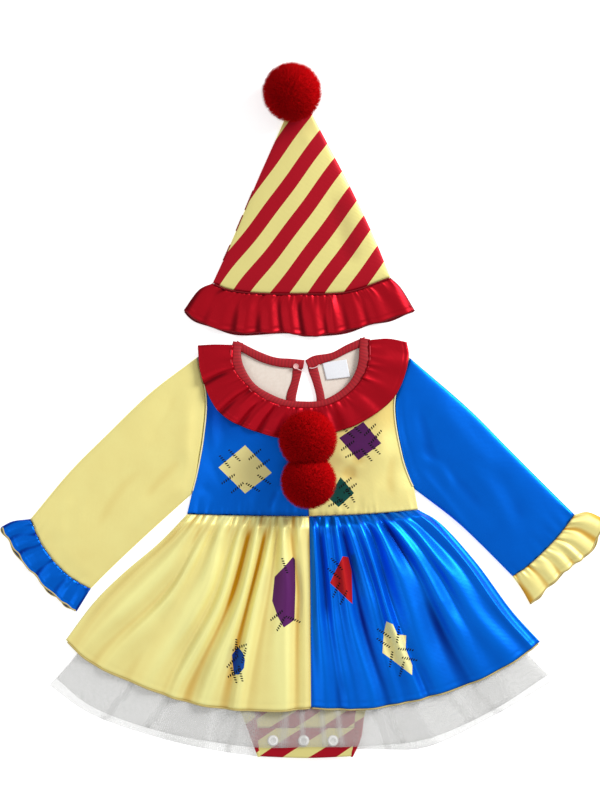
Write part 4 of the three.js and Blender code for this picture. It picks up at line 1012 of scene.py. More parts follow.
# Long soft folds that cross the gathers: they fan out over the skirt's outer half.
SKIRT_CREASES = {
    "left": [Crease(-70, -30, -130, -90, -196, -150, 13, 1.8),
             Crease(-96, -24, -160, -66, -222, -128, 10, 1.4),
             Crease(-60, -70, -104, -130, -140, -178, 12, 1.3)],
    "right": [Crease(66, -24, 130, -86, 186, -150, 12, 2.2), Crease(90, -20, 150, -60, 214, -120, 9, 1.6),
              Crease(48, -60, 92, -120, 130, -176, 12, 1.6), Crease(20, -90, 24, -140, 40, -186, 13, 1.8)],
}


def skirt_front(side):
    s = SKIRT[side]
    panel = skirt_panel(side)
    u, v, x, y = panel.grid(210, 104)
    length = panel.length()
    fold = pleat_height(side, u, v)
    waist = Edge(s["waist"]).length
    down, from_hem = v * length, (1 - v) * length
    seed = 41 if side == "left" else 42
    fine = gathers(u * waist, down, waist, spacing=5.4, rise=2.1, reach=20, seed=seed)
    lifted = smooth(0, 0.05, u)
    base = mix(1.6, tulle_level(x, y) + 1.0, lifted)
    base = mix(3.6, base, smooth(0, 12, down))
    hem_roll = -0.7 * np.exp(-(from_hem / 1.2) ** 2)
    stitch = -0.3 * np.exp(-((from_hem - 6) / 1.0) ** 2)  # the hem's seam, 6 mm up
    fold = fold * 1.5 + creases(x, y, SKIRT_CREASES[side])
    top = base + fold * lifted + fine * lifted + hem_roll + stitch + SATIN
    top = top - 1.0 * smooth(3.5, 0, down)
    # painted shade in the troughs and between the waist's gathers, less on the crests as a painted highlight
    fold_shade = 0.85 * smooth(1.5, -1.2, fold) * smooth(0.02, 0.12, v) * mix(1, 0.5, smooth(0.5, 1, v))
    fold_shade = np.maximum(fold_shade, 0.6 * smooth(0.8, 0.05, fine) * smooth(26, 3, down))
    crest_highlight = 0.28 * smooth(2.0, 7.5, fold) + 0.2 * smooth(1.0, 2.2, fine)
    fold_shade = (fold_shade - crest_highlight) * lifted
    points = np.stack([x, y, top], -1)
    return shell(f"skirt_front_{s['colour']}_cloth", points, SATIN, s["outside"], s["inside"], fold_shade=fold_shade)


def skirt_back(side):
    s = SKIRT[side]
    u, v, x, y = skirt_panel(side).grid(80, 44)
    fold = 0.22 * np.maximum(pleat_height(side, u, v), 0)
    top = SATIN + 0.05 + np.minimum(fold, 1.0) * smooth(0, 0.04, u)
    points = np.stack([x, y, top], -1)
    piece = shell(f"skirt_back_{s['colour']}_cloth", points, SATIN, s["inside"], s["outside"])
    cloth(piece, [f"skirt_back_{s['colour']}"])


def skirt_hem(side):
    """The cream thread that binds the skirt's raw edge, just below the cloth."""
    s = SKIRT[side]
    piece = PIECES[f"skirt_front_{s['colour']}_cloth"]
    panel = skirt_panel(side)
    u = np.linspace(0.01, 0.995, 160)
    inner = panel(u, np.full_like(u, 0.985))
    edge = panel(u, np.ones_like(u))
    z = height_on(piece, inner[:, 0], inner[:, 1]) - 0.9
    below = (edge - inner) / np.linalg.norm(edge - inner, axis=1, keepdims=True)
    line = np.c_[edge + below * 0.6, z]
    trim(cord(f"skirt_hem_overlock_{s['colour']}", line, 0.8, OVERLOCK))


# ------------------------------------------------------------------ tulle underskirt
TULLE_SHAPE = {
    "back": Panel(
        Edge([(-113, -9), (-146, -39), (-185, -72), (-213, -101), (-237, -139), (-268.9, -176)]),
        Edge([(100, -5), (123, -18), (161, -58), (200, -110), (222, -138), (254.6, -170.3)]),
        Edge([(-113, -9), (0, -11), (100, -5)]),
        Edge([(-268.9, -176), (-227.7, -204.8), (-144.4, -233.2), (-53.4, -249.5), (0, -249.5),
              (51.2, -242), (119, -240.5), (191, -207.7), (254.6, -170.3)]),
    ),
    "front": Panel(
        Edge([(-113, -9), (-146, -39), (-185, -72), (-213, -101), (-236, -139), (-261, -169)]),
        Edge([(100, -5), (123, -18), (161, -58), (200, -110), (222, -139), (247, -165)]),
        Edge([(-113, -9), (0, -11), (100, -5)]),
        Edge([(-261, -169), (-226, -197), (-144.4, -226), (-53.4, -239.5), (0, -239.2),
              (51.2, -238.6), (119, -232), (191, -201), (247, -165)]),
    ),
}


# Thin pleats of the net, doubled, as shares of the width at the waist and at the hem.
TULLE_PLEATS = {
    "front": [(0.47, 0.462), (0.5, 0.502), (0.555, 0.54), (0.57, 0.578), (0.3, 0.2), (0.72, 0.83),
              (0.64, 0.69)],
    "back": [(0.2, 0.12), (0.4, 0.36), (0.62, 0.66), (0.78, 0.88)],
}


def tulle_layer(layer):
    """One layer of net: soft uneven waves, drawn denser on their crests as painted shade, and doubled in its
    thin pleats.
    """
    u, v, x, y = TULLE_SHAPE[layer].grid(120, 40)
    rng = np.random.default_rng(51 if layer == "back" else 52)
    waves = 9
    wave = np.zeros_like(u)
    for _ in range(waves):
        turns, phase, lean = rng.uniform(9, 46), rng.uniform(0, 6.28), rng.uniform(-3, 3)
        wave += np.sin(u * turns + phase + lean * v) / waves
    level = 2.3 if layer == "back" else tulle_level(x, y)
    z = level + 0.6 * wave * smooth(0, 0.3, v)
    points = np.stack([x, y, z], -1)
    off_pleat = [np.abs(u - mix(start, stop, v)) for start, stop in TULLE_PLEATS[layer]]
    # denser on the wave crests as painted shade, and doubled in the pleats
    ply = 0.5 * smooth(0.12, 0.3, wave) + 0.9 * sum(smooth(0.006, 0.003, off) for off in off_pleat)
    piece = shell(f"tulle_{layer}_net", points, NET, TULLE, TULLE, fold_shade=np.clip(ply, 0, 1))
    cloth(piece, [f"tulle_{layer}"])


# ------------------------------------------------------------------ romper
LEG_EDGE = {
    "left": [(-117, -87), (-101.5, -109.5), (-79, -159), (-58.5, -201.5), (-53.5, -220.2)],
    "right": [(105, -87), (92, -109.5), (70, -159), (50.5, -201.5), (48, -220.2)],
}
LEG_BINDING = {
    "left": dict(
        outer=[(-121, -84), (-112, -118), (-93, -163), (-71.8, -201), (-53.2, -249.5)],
        inner=[(-115.8, -88.4), (-99.8, -108.5), (-76.8, -158.4), (-56.4, -201.3), (-50.1, -249.5)],
    ),
    "right": dict(
        outer=[(109, -84), (101, -118), (82, -163), (59, -201), (53.5, -231), (45.5, -249.5)],
        inner=[(103.8, -88.4), (89.8, -108.5), (67.8, -158.4), (48.4, -201.3), (46.3, -222), (43, -249.5)],
    ),
}
LEVEL = {"back": 3.3, "front": 4.7}  # heights of the romper's two layers
ROMPER_CREASES = [Crease(-60, -200, -20, -190, 10, -204, 6, 1), Crease(40, -196, 10, -206, -20, -212, 5, 1)]


def romper_leaf(layer):
    panel = Panel(
        Edge([(-110, -9), (-117, -87)], LEG_EDGE["left"]), Edge([(97, -5), (105, -87)], LEG_EDGE["right"]),
        Edge([(-110, -9), (0, -11), (97, -5)]), Edge([(-53.5, -220.2), (48, -220.2)]),
    )
    _, _, x, y = panel.grid(60, 60)
    z = LEVEL[layer] + 0.3 * creases(x, y, ROMPER_CREASES)
    piece = shell(f"romper_{layer}_cloth", np.stack([x, y, z], -1), SATIN, STRIPES, STRIPES)
    print_stripes(piece, ROMPER_STRIPES)
    cloth(piece, [f"romper_{layer}"])


def placket(layer):
    panel = Panel(
        Edge([(-54.5, -220), (-51.4, -249)]), Edge([(49.2, -220), (44.4, -249)]),
        Edge([(-54.5, -220), (49.2, -220)]), Edge([(-51.4, -249), (-2.4, -250.8), (44.4, -249)]),
    )
    _, v, x, y = panel.grid(70, 24)
    seam = 0.35 * np.exp(-((v - 0.06) / 0.05) ** 2)
    z = LEVEL[layer] + 0.5 - seam - 0.4 * smooth(0.96, 1, v)
    piece = shell(f"placket_{layer}_cloth", np.stack([x, y, z], -1), SATIN, STRIPES, STRIPES)
    print_stripes(piece, PLACKET_STRIPES)
    cloth(piece, [f"placket_{layer}"])


def leg_casing(side):
    """Striped cloth gathered over elastic down the leg opening."""
    outer, inner = Edge(LEG_BINDING[side]["outer"]), Edge(LEG_BINDING[side]["inner"])
    count, level, thickness = 150, 4.2, 0.5
    t = np.linspace(0, 1, count + 1)
    a, b = outer(t), inner(t)
    around = np.linspace(0, 2 * math.pi, 18, endpoint=False)
    rings = []
    for i in range(count + 1):
        middle, half = (a[i] + b[i]) / 2, (a[i] - b[i]) / 2
        pucker = 1 + 0.16 * math.sin(i * 1.35 + 1.2 * math.sin(i * 0.37))
        rings.append([np.r_[middle + half * math.cos(w), level + 1.5 * pucker * math.sin(w)] for w in around])
    piece = shell(f"leg_casing_{side}_cloth", np.array(rings), thickness, STRIPES, WRONG_RED, wrap=True)
    print_stripes(piece, CASING_STRIPES)
    cloth(piece, [f"leg_binding_{side}"])


# A snap's cap from its dimple out to its rim, as shares of its radius and height.
SNAP_PROFILE = [(0.0, 0.45), (0.22, 0.45), (0.3, 0.62), (0.52, 0.72), (0.66, 1.0), (0.8, 0.95),
                (0.86, 0.55), (1.0, 0.4)]


def snap(index):
    """A moulded snap: a domed cap with a rim and a dimple."""
    low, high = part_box(f"snap_{index}")
    centre, radius, height = (low + high) / 2, (high.x - low.x) / 2, high.z - low.z
    bpy.ops.mesh.primitive_circle_add(vertices=40, radius=radius, fill_type="TRIFAN",
                                      location=(centre.x, centre.y, low.z))
    piece = bpy.context.object
    piece.name = piece.data.name = f"snap_cap_{index}"
    bpy.ops.object.transform_apply(location=True)
    mesh = bmesh.new()
    mesh.from_mesh(piece.data)
    edge = [e for e in mesh.edges if e.is_boundary]
    middle = Vector((centre.x, centre.y, low.z))
    for share, lift in reversed(SNAP_PROFILE):
        out = bmesh.ops.extrude_edge_only(mesh, edges=edge)["geom"]
        edge = [g for g in out if isinstance(g, bmesh.types.BMEdge)]
        for vertex in {v for e in edge for v in e.verts}:
            flat = Vector((vertex.co.x - middle.x, vertex.co.y - middle.y, 0))
            vertex.co = middle + flat.normalized() * radius * max(share, 0.02) + Vector((0, 0, height * lift))
    bmesh.ops.edgeloop_fill(mesh, edges=edge)
    bmesh.ops.remove_doubles(mesh, verts=mesh.verts, dist=1e-7)
    bmesh.ops.recalc_face_normals(mesh, faces=mesh.faces)
    mesh.to_mesh(piece.data)
    mesh.free()
    piece.data.polygons.foreach_set("use_smooth", [True] * len(piece.data.polygons))
    piece.data.materials.append(PLASTIC)
    trim(piece, [f"snap_{index}"])


# ------------------------------------------------------------------ neck, keyhole, label, button
KEYHOLE = Panel(
    Edge([(-7.0, 154), (-7.6, 148), (-11.4, 131.6), (-13.5, 118), (-9, 107), (-3, 104.5), (3.4, 107),
          (7.6, 118), (4.1, 135.7), (-0.6, 149), (-1.6, 154)]),
    Edge([(-17.0, 154), (-17.2, 149), (-18.1, 139.9), (-23.8, 121.2), (-19, 103.9), (-3, 95.3),
          (12.1, 102.9), (16.5, 117), (11.9, 140.9), (10, 149), (8.6, 154)]),
    Edge([(-7.0, 154), (-17.0, 154)]), Edge([(-1.6, 154), (8.6, 154)]),
)
NECK_FRONT = Panel(
    Edge([(-78.5, 180), (-80.6, 170), (-79.2, 152.5), (-67.5, 135.9), (-47.8, 119.4), (-28, 111.9),
          (-8.1, 109.4), (15, 111.1), (34.8, 119.4), (53, 135.9), (62, 155.8), (62.9, 182)]),
    Edge([(-68, 178), (-70.2, 168), (-67.5, 154.2), (-56, 135.9), (-41.1, 126.1), (-24.7, 119.5),
          (-8.1, 117.8), (11.7, 118.6), (28.3, 126.1), (41.4, 137.6), (49.7, 154.2), (52.5, 183.5)]),
    Edge([(-78.5, 180), (-68, 178)]), Edge([(62.9, 182), (52.5, 183.5)]),
)
NECK_BACK = {
    "left": Panel(
        Edge([(-74.5, 180.5), (-51.1, 169), (-34.5, 163.2), (-18, 161.8), (-4.6, 160.5)]),
        Edge([(-74, 171), (-50, 158.6), (-34, 153.9), (-17.2, 152), (-6.3, 151.3)]),
        Edge([(-74.5, 180.5), (-74, 171)]), Edge([(-4.6, 160.5), (-6.3, 151.3)]),
    ),
    "right": Panel(
        Edge([(57.5, 184.5), (38.1, 175.9), (23.3, 168.2), (4, 164.6), (-4.1, 160)]),
        Edge([(57, 175.5), (38, 166.9), (27, 161.3), (12, 156), (0.2, 150.3)]),
        Edge([(57.5, 184.5), (57, 175.5)]), Edge([(-4.1, 160), (0.2, 150.3)]),
    ),
}


def strip(name, panel, count, level, height, nodes):
    """A folded rib strip: a low rounded band along a seam, at a level that may change along it."""
    turn = np.linspace(0, math.pi, 11)
    v = np.linspace(0, 1, count + 1)
    u, w = np.meshgrid((1 - np.cos(turn)) / 2, v)
    place = panel(u, w)
    level = level(v) if callable(level) else np.full_like(v, level)
    arch = np.sin(turn) ** 0.7
    fold, thickness = 0.35, 0.5
    top = level[:, None] + height * (fold + (1 - fold) * arch)
    under = level[:, None] + height * fold * (1 - arch)
    ring = ring_of(np.dstack([place, top]), np.dstack([place, under]))
    piece = shell(name, ring, thickness, RIB, RIB, wrap=True)
    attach(piece, "root")
    if nodes:
        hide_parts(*nodes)
    PIECES[name] = piece


def neck():
    """The rib round the neck, whose front rises from the shoulders over the collar, and the slit's."""
    def front_level(v):
        ends = np.minimum(smooth(0, 0.1, v), smooth(1, 0.9, v))
        return mix(3.6, 6.0, ends)

    strip("neck_rib_front", NECK_FRONT, 150, front_level, 3.1, ["neck_binding"])
    strip("neck_rib_back_left", NECK_BACK["left"], 44, 2.2, 3.0, [])
    strip("neck_rib_back_right", NECK_BACK["right"], 44, 2.2, 3.0, [])
    strip("keyhole_rib", KEYHOLE, 90, 1.3, 2.6, ["keyhole_binding"])


def button():
    """A pearl button: a disc with a raised rim and a sunk middle, smaller than its solid."""
    low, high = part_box("button")
    centre, radius, height = (low + high) / 2, (high.x - low.x) * 0.4, high.z - low.z
    lift = 0.6 * MM
    bpy.ops.mesh.primitive_cylinder_add(vertices=40, radius=radius, depth=height,
                                        location=(centre.x, centre.y, centre.z + lift))
    piece = bpy.context.object
    piece.name = piece.data.name = "pearl_button"
    bpy.ops.object.transform_apply(location=True)
    mesh = bmesh.new()
    mesh.from_mesh(piece.data)
    top = [f for f in mesh.faces if f.normal.z > 0.9]
    bmesh.ops.inset_region(mesh, faces=top, thickness=radius * 0.3, depth=0)
    bmesh.ops.translate(mesh, verts=list({v for f in top for v in f.verts}), vec=(0, 0, -height * 0.45))
    mesh.to_mesh(piece.data)
    mesh.free()
    piece.data.materials.append(PEARL)
    bevel = piece.modifiers.new("round", "BEVEL")
    bevel.width, bevel.segments = 0.25 * MM, 3
    with bpy.context.temp_override(object=piece, active_object=piece, selected_objects=[piece]):
        bpy.ops.object.modifier_apply(modifier=bevel.name)
    piece.data.polygons.foreach_set("use_smooth", [True] * len(piece.data.polygons))
    trim(piece, ["button"])


def thread_loop():
    """The worked loop by the slit, and the thread that sews the button on."""
    t = np.linspace(-1, 1, 30)
    height = np.full_like(t, 5.6)
    loop = np.c_[5.6 + 5.2 * t, 152.4 + 1.7 * t + 1.6 * t ** 2, height]
    trim(cord("worked_thread_loop", loop, 0.5, THREAD), ["button_loop"])
    shank = np.c_[-10.6 + 4.0 * t, 150.6 - 2.0 * t + 0.9 * t ** 2, height]
    trim(cord("button_sewing_thread", shank, 0.45, THREAD))


def binding_edge():
    """The folded edge of the neck rib where it is sewn over the collar, coloured lighter as a painted
    highlight.
    """
    line = NECK_FRONT.side_a(np.linspace(0.04, 0.97, 200))
    trim(cord("neck_rib_seam_edge", np.c_[line, np.full(len(line), 9.0)], 0.5, RIB_EDGE_HIGHLIGHT))


def label():
    panel = Panel(
        Edge([(17.9, 139.9), (13.5, 157.5)]), Edge([(42.5, 142.9), (38.8, 161.2)]),
        Edge([(17.9, 139.9), (42.5, 142.9)]), Edge([(13.5, 157.5), (38.8, 161.2)]),
    )
    u, v, x, y = panel.grid(20, 16)
    z = 3.2 + 0.5 * np.sin(u * 3.0) * (1 - v) + 0.25 * (1 - v)
    piece = shell("size_label_tape", np.stack([x, y, z], -1), 0.35, LABEL, LABEL)
    cloth(piece, ["size_label"])


# ------------------------------------------------------------------ front collar frill
COLLAR = Panel(
    Edge([(-78, 176), (-77.3, 152.9), (-66, 137), (-47, 121.3), (-27.5, 113.8), (-8.1, 111.5),
          (14.6, 113), (33.9, 121.3), (51.3, 137.3), (60.2, 156), (61, 181)]),
    Edge([(-115.1, 175.6), (-111.4, 145), (-92.3, 106.2), (-54.4, 86.4), (-2, 76.7), (29, 86.4),
          (54.7, 96.3), (88.5, 122.8), (102.9, 163.2), (100.9, 178.9)]),
    Edge([(-78, 176), (-98, 176.5), (-115.1, 175.6)]),
    Edge([(61, 181), (82, 182.5), (100.9, 178.9)]),
)
COLLAR_FOLDS = [
    Fold(0, 0, 0.4), Fold(0.035, 0.03, 1.4), Fold(0.075, 0.08, 0.9), Fold(0.1, 0.108, 2.6),
    Fold(0.115, 0.122, 0.1), Fold(0.15, 0.15, 1.4), Fold(0.185, 0.19, 1.0), Fold(0.21, 0.212, 2.9),
    Fold(0.228, 0.228, 0.1),
    Fold(0.265, 0.26, 1.6), Fold(0.29, 0.283, 2.8), Fold(0.308, 0.3, 0.1), Fold(0.34, 0.325, 2.4),
    Fold(0.36, 0.345, 2.8), Fold(0.378, 0.36, 0.2), Fold(0.42, 0.4, 2.0), Fold(0.45, 0.43, 0.6),
    Fold(0.49, 0.48, 1.4), Fold(0.55, 0.54, 0.7), Fold(0.59, 0.59, 2.2), Fold(0.615, 0.612, 0.6),
    Fold(0.65, 0.655, 1.8), Fold(0.69, 0.7, 1.0), Fold(0.73, 0.74, 2.1), Fold(0.76, 0.77, 0.9),
    Fold(0.82, 0.83, 1.7), Fold(0.87, 0.88, 1.0), Fold(0.92, 0.93, 1.8), Fold(0.96, 0.965, 0.8),
    Fold(1, 1, 0.6),
]


def collar_front():
    """The collar's gathered front: v runs round the neck, u from the neck out to the hem."""
    across, out = 280, 30
    v, u = np.meshgrid(np.linspace(0, 1, across + 1), np.linspace(0, 1, out + 1), indexing="ij")
    place = COLLAR(u, v)
    x, y = place[..., 0], place[..., 1]
    centres = [np.array([mix(k.seam, k.hem, t) for k in COLLAR_FOLDS]) for t in u[0]]
    rises = [np.array([k.rise for k in COLLAR_FOLDS])] * len(centres)
    wave = 1.25 * pleated(v.T, centres, rises).T * mix(0.45, 1, smooth(0, 0.5, u))
    neck_length, depth = 260.0, 40.0
    from_hem = (1 - u) * depth
    pucker = gathers(v * neck_length, u * depth, neck_length, spacing=5.6, rise=1.5, reach=13, seed=61)
    stitch = 0.4 * np.exp(-((from_hem - 4) / 0.9) ** 2)  # the hem's seam, 4 mm up
    under = back_level(y) + WALL + GAP + 3.4 + WALL
    under = mix(under, 3.2, smooth(150, 178, y) * 0.45)
    z = under + 0.5 + wave + pucker - stitch - 0.8 * smooth(0.05, 0, u) + SATIN
    z = z - 0.6 * np.exp(-(from_hem / 1.2) ** 2)
    # painted shade in the troughs and by the seam, less on the crests as a painted highlight
    hollow_shading = 0.7 * smooth(0.9, 0.05, wave + pucker) + 0.2 * smooth(0.12, 0, u)
    hollow_shading = hollow_shading - 0.2 * smooth(1.8, 3.2, wave + pucker)
    piece = shell("collar_front_cloth", np.stack([x, y, z], -1), SATIN, RED, WRONG_RED, fold_shade=hollow_shading)
    cloth(piece, ["collar_frill_front"])


# ------------------------------------------------------------------ printed patches and stitch marks
# A row of stitch marks: its middle, and the angle in degrees of the patch's edge that it crosses.
Stitch = namedtuple("Stitch", "x y angle")
BODICE_PATCHES = {
    "left": [
        ("yellow", [(-66, 72.5), (-38.5, 44), (-66, 22.5), (-93.5, 49.5)]),
    ],
    "right": [
        ("purple", [(56, 96.5), (74.5, 74.5), (51, 57), (31, 80)]),
        ("green", [(32.5, 39.5), (46.5, 23), (30.5, 8.5), (20, 18)]),
    ],
}
BODICE_STITCHES = {
    "left": [Stitch(-77, 62, -45), Stitch(-87, 55.5, -50), Stitch(-56, 63, 40), Stitch(-47.5, 53, 35),
             Stitch(-46.5, 37, -35), Stitch(-58, 29, -30), Stitch(-83.5, 37.5, -145),
             Stitch(-74, 28.5, -140)],
    "right": [Stitch(63, 88.5, 45), Stitch(69.5, 81.5, 50), Stitch(67.5, 69, -45), Stitch(59.5, 62.5, -50),
              Stitch(40, 72, -145), Stitch(45, 63.5, -155), Stitch(40.5, 85.5, 140), Stitch(48, 91, 135),
              Stitch(37.5, 33.5, 40), Stitch(42.5, 28, 35), Stitch(43, 20.5, -60), Stitch(35, 13, -45),
              Stitch(27.5, 13, -155)],
}
SKIRT_PATCHES = {
    "left": [
        ("purple", [(-16.5, -42.5), (-14.5, -45.5), (-14, -74.5), (-15, -107.5), (-26, -114.5), (-32.5, -103),
                    (-38, -88), (-35.5, -63)]),
        ("blue", [(-73.5, -135.5), (-68, -141), (-66, -148), (-67, -156.5), (-72.5, -163.5), (-77.5, -164),
                  (-79, -150), (-79.5, -143.5)]),
    ],
    "right": [
        ("red", [(34.5, -41.5), (40.5, -43), (44, -57.5), (44.5, -90.5), (21.5, -69)]),
        ("yellow", [(79.5, -108.5), (86, -111), (91, -122), (100, -123.5), (99.5, -137), (106.5, -154.5),
                    (106, -164), (75.5, -141), (77, -121)]),
    ],
}
SKIRT_STITCHES = {
    "left": [Stitch(-25, -51, -70), Stitch(-33.5, -102.5, -140), Stitch(-16.5, -106.5, -25),
             Stitch(-29, -111, -120), Stitch(-71.5, -135.5, 25), Stitch(-67, -143.5, 75),
             Stitch(-79, -150.5, -135), Stitch(-77, -162, -145), Stitch(-77.5, -164.5, -70),
             Stitch(-70.5, -162.5, -75), Stitch(-75, -135.5, 90)],
    "right": [Stitch(25.5, -59.5, -40), Stitch(28.5, -49.5, -45), Stitch(28, -76.5, -115),
              Stitch(35.5, -84, -115), Stitch(77, -121, -35), Stitch(76.5, -131, -35),
              Stitch(84.5, -148, -100), Stitch(95.5, -158, -105), Stitch(91.5, -122, 80),
              Stitch(99.5, -137.5, -10), Stitch(103.5, -147.5, -15)],
}


def inside(x, y, outline):
    """Whether a place lies in a closed outline."""
    odd = False
    for (ax, ay), (bx, by) in zip(outline, outline[1:] + outline[:1]):
        if (ay > y) != (by > y) and x < (bx - ax) * (y - ay) / (by - ay) + ax:
            odd = not odd
    return odd


def print_patches(piece, patches):
    """Cuts the cloth's faces along each patch's outline and gives those within it its print."""
    mesh = bmesh.new()
    mesh.from_mesh(piece.data)
    margin = 4 * MM
    for colour, outline in patches:
        piece.data.materials.append(PATCH[colour])
        slot = len(piece.data.materials) - 1
        corners = row([(x, y, 0) for x, y in outline])
        low, high = corners.min(0) - margin, corners.max(0) + margin

        def near(face):
            c = face.calc_center_median()
            return face.material_index == 0 and low[0] < c.x < high[0] and low[1] < c.y < high[1]

        for a, b in zip(corners, np.roll(corners, -1, 0)):
            faces = [f for f in mesh.faces if near(f)]
            edges = list({e for f in faces for e in f.edges})
            geometry = edges + list({v for f in faces for v in f.verts}) + faces
            across = Vector((b[1] - a[1], a[0] - b[0], 0)).normalized()
            bmesh.ops.bisect_plane(mesh, geom=geometry, plane_co=Vector(a), plane_no=across, dist=1e-7)
        flat = [(x, y) for x, y, _ in corners.tolist()]
        for face in [f for f in mesh.faces if near(f)]:
            c = face.calc_center_median()
            if inside(c.x, c.y, flat):
                face.material_index = slot
    mesh.to_mesh(piece.data)
    mesh.free()


# The bars of one row of stitch marks: their lengths in order, and the distance between them.
BAR_LENGTHS = [2.2, 2.7, 2.9, 2.9, 2.8, 2.6, 2.1]
BAR_PITCH = 2.5
BAR_HALF_WIDTH = 0.66


def stitch_marks(name, piece, stitches):
    """Rows of short slanting bars, narrower at their ends, along each patch's edge."""
    corners = []
    for s in stitches:
        along = np.array([math.cos(math.radians(s.angle)), math.sin(math.radians(s.angle))])
        across = np.array([-along[1], along[0]])
        slant = across * 0.96 + along * 0.28
        for k, length in enumerate(BAR_LENGTHS):
            centre = np.array([s.x, s.y]) + along * BAR_PITCH * (k - (len(BAR_LENGTHS) - 1) / 2)
            for step in (-1, 0, 1):
                end = centre + slant * (length / 2) * step
                half_width = BAR_HALF_WIDTH * (1 - 0.3 * abs(step))
                corners.append(end - along * half_width)
                corners.append(end + along * half_width)
    flat = np.array(corners)
    z = height_on(piece, flat[:, 0], flat[:, 1])
    lower = np.c_[flat, z + 0.03]
    upper = np.c_[flat, z + 0.2]
    count = len(flat)
    halves = [(0, 1, 3, 2), (2, 3, 5, 4)]
    rim = [0, 1, 3, 5, 4, 2]
    faces = []
    for start in range(0, count, len(rim)):
        for half in halves:
            faces.append(tuple(start + count + i for i in half))
            faces.append(tuple(start + i for i in reversed(half)))
        for i, j in zip(rim, rim[1:] + rim[:1]):
            faces.append((start + i, start + j, start + count + j, start + count + i))
    marks = new_object(name, row(np.vstack([lower, upper])), faces, [INK])
    face_outwards(marks)
    trim(marks)


# ------------------------------------------------------------------ fur pompoms
def pompom(name, node_name, seed, count, flat_side=None, shift=0.0):
    """Dense soft fibres in leaning clumps over a round core, in the space of the frame's own ball.

    Two pompoms that touch are flat towards each other: their centres and widths are those of
    the whole balls, and their fibres end at the flat side.
    """
    low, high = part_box(node_name)
    rng = np.random.default_rng(seed)
    if flat_side is None:
        centre = np.array((low + high) / 2)
        radii = np.array((high - low) / 2)
    else:
        radius = (high.x - low.x) / 2
        y = high.y - radius if flat_side == "low" else low.y + radius
        centre = np.array([(low.x + high.x) / 2, y, (low.z + high.z) / 2])
        radii = np.array([radius, radius, (high.z - low.z) / 2])
    centre = centre + np.array([0, shift * MM, 0])

    def hold(points, above_floor, past_side):
        """Keeps points above the floor and off the pompom next to it."""
        points[:, 2] = np.maximum(points[:, 2], low.z + above_floor)
        if flat_side == "low":
            points[:, 1] = np.maximum(points[:, 1], low.y - past_side)
        if flat_side == "high":
            points[:, 1] = np.minimum(points[:, 1], high.y + past_side)

    k = np.arange(count) + 0.5
    polar = np.arccos(1 - 2 * k / count)
    turn = math.pi * (1 + 5 ** 0.5) * k
    out = np.stack([np.cos(turn) * np.sin(polar), np.sin(turn) * np.sin(polar), np.cos(polar)], -1)
    out += rng.normal(0, 0.02, out.shape)
    out /= np.linalg.norm(out, axis=1, keepdims=True)
    clumps = rng.normal(0, 1, (70, 3))
    clumps /= np.linalg.norm(clumps, axis=1, keepdims=True)
    near = (out @ clumps.T).argmax(1)
    lean = 0.5 * (clumps[near] - out) + 0.3 * rng.normal(0, 1, out.shape)
    length = rng.uniform(0.92, 1.08, count)[:, None]
    root = centre + out * radii * 0.8
    aim = out + 0.35 * lean
    tip = centre + aim / np.linalg.norm(aim, axis=1, keepdims=True) * radii * length
    for points in (root, tip):
        hold(points, 0.8 * MM, 4 * MM)
    side = np.cross(tip - root, rng.normal(0, 1, out.shape))
    side /= np.linalg.norm(side, axis=1, keepdims=True)
    other = np.cross(tip - root, side)
    other /= np.linalg.norm(other, axis=1, keepdims=True)
    thick = rng.uniform(0.32, 0.5, count)[:, None] * MM
    thirds = (0, 2.0944, 4.18879)
    ring = [root + (side * math.cos(a) + other * math.sin(a)) * thick for a in thirds]
    fibres = np.stack([*ring, tip], 1).reshape(-1, 3)
    spike = np.array([(0, 1, 3), (1, 2, 3), (2, 0, 3), (2, 1, 0)])
    faces = (np.arange(count)[:, None, None] * 4 + spike).reshape(-1, 3)

    bpy.ops.mesh.primitive_uv_sphere_add(segments=40, ring_count=24, radius=1)
    core = bpy.context.object
    ball = centre + np.array([v.co for v in core.data.vertices]) * radii * 0.86
    hold(ball, 0.6 * MM, 0)
    ball_faces = [tuple(i + len(fibres) for i in p.vertices) for p in core.data.polygons]
    bpy.data.objects.remove(core)
    piece = new_object(name, np.vstack([fibres, ball]), [*faces.tolist(), *ball_faces], [FUR])
    shades = np.repeat(rng.uniform(0, 0.5, count), 4)
    # painted shade: the fibres darken towards their roots, and the core is darker
    attribute(piece, "tip", np.r_[np.tile([0.35, 0.35, 0.35, 1.0], count), np.full(len(ball), 0.3)])
    attribute(piece, "shade", np.r_[shades, np.zeros(len(ball))])
    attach(piece, "root")
    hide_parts(node_name)
    PIECES[name] = piece


# ------------------------------------------------------------------ floor, light and camera
Light = namedtuple("Light", "name place size watts")
LIGHTS = [Light("key", (1.6, 1.2, 1.25), 0.9, 56.0), Light("fill", (-1.5, -0.3, 1.6), 1.4, 6.0)]


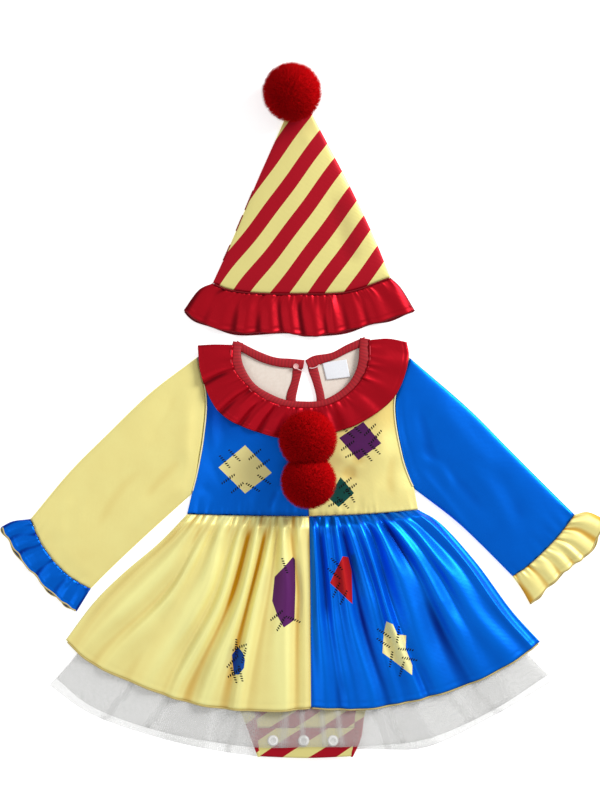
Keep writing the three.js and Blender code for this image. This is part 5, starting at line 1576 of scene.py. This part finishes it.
def studio():
    """A bright white floor and room, a key light from the top right and a camera straight above."""
    bpy.ops.mesh.primitive_plane_add(size=12, location=(0, 0, -0.4 * MM))
    floor = bpy.context.object
    floor.name = "floor"
    paper = material("white_paper_floor")
    shader = node(paper, "ShaderNodeBsdfPrincipled", Base_Color=(0.9, 0.9, 0.9, 1), Roughness=0.9,
                  Emission_Color=(1, 1, 1, 1), Emission_Strength=0.5)
    finish_with(paper, shader)
    floor.data.materials.append(paper)
    world = bpy.data.worlds.new("soft_room")
    bpy.context.scene.world = world
    world.use_nodes = True
    room = world.node_tree.nodes["Background"]
    room.inputs["Color"].default_value = (1, 1, 1, 1)
    room.inputs["Strength"].default_value = 0.54
    for light in LIGHTS:
        panel = bpy.data.lights.new(light.name, "AREA")
        panel.size, panel.energy = light.size, light.watts
        lamp = bpy.data.objects.new(light.name, panel)
        lamp.location = light.place
        lamp.rotation_euler = Vector(light.place).to_track_quat("Z", "Y").to_euler()
        bpy.context.scene.collection.objects.link(lamp)
    view = bpy.data.cameras.new("camera")
    view.sensor_width, view.lens = 36, 86.9
    camera = bpy.data.objects.new("camera", view)
    camera.location = (-0.003, 0.0107, 2.0)
    bpy.context.scene.collection.objects.link(camera)
    bpy.context.scene.camera = camera
    bpy.context.scene.view_settings.view_transform = "Standard"


# ------------------------------------------------------------------ making the costume
studio()
for side in SIDES:
    collar_back(side)
    bodice_back(side)
for side in SIDES:
    sleeve(side)
    cuff_frill(side)
    skirt_back(side)
for layer in ("back", "front"):
    tulle_layer(layer)
    romper_leaf(layer)
    placket(layer)
for side in SIDES:
    leg_casing(side)
for index in (1, 2, 3):
    snap(index)
for side in SIDES:
    colour = BODICE[side][0]
    piece = bodice_front(side)
    print_patches(piece, BODICE_PATCHES[side])
    cloth(piece, [f"bodice_front_{colour}"])
    stitch_marks(f"stitch_marks_bodice_{colour}", piece, BODICE_STITCHES[side])
    armhole_edge(side)
for side in SIDES:
    colour = SKIRT[side]["colour"]
    piece = skirt_front(side)
    print_patches(piece, SKIRT_PATCHES[side])
    cloth(piece, [f"skirt_front_{colour}"])
    stitch_marks(f"stitch_marks_skirt_{colour}", piece, SKIRT_STITCHES[side])
    skirt_hem(side)
collar_front()
neck()
binding_edge()
button()
thread_loop()
label()
hat_cone()
hat_frill()
FIBRES = 17000
pompom("upper_chest_pompom", "pompom_upper", 71, FIBRES, "low")
pompom("lower_chest_pompom", "pompom_lower", 72, FIBRES, "high")
pompom("hat_tip_pompom", "hat_pompom", 73, FIBRES, shift=-4.0)
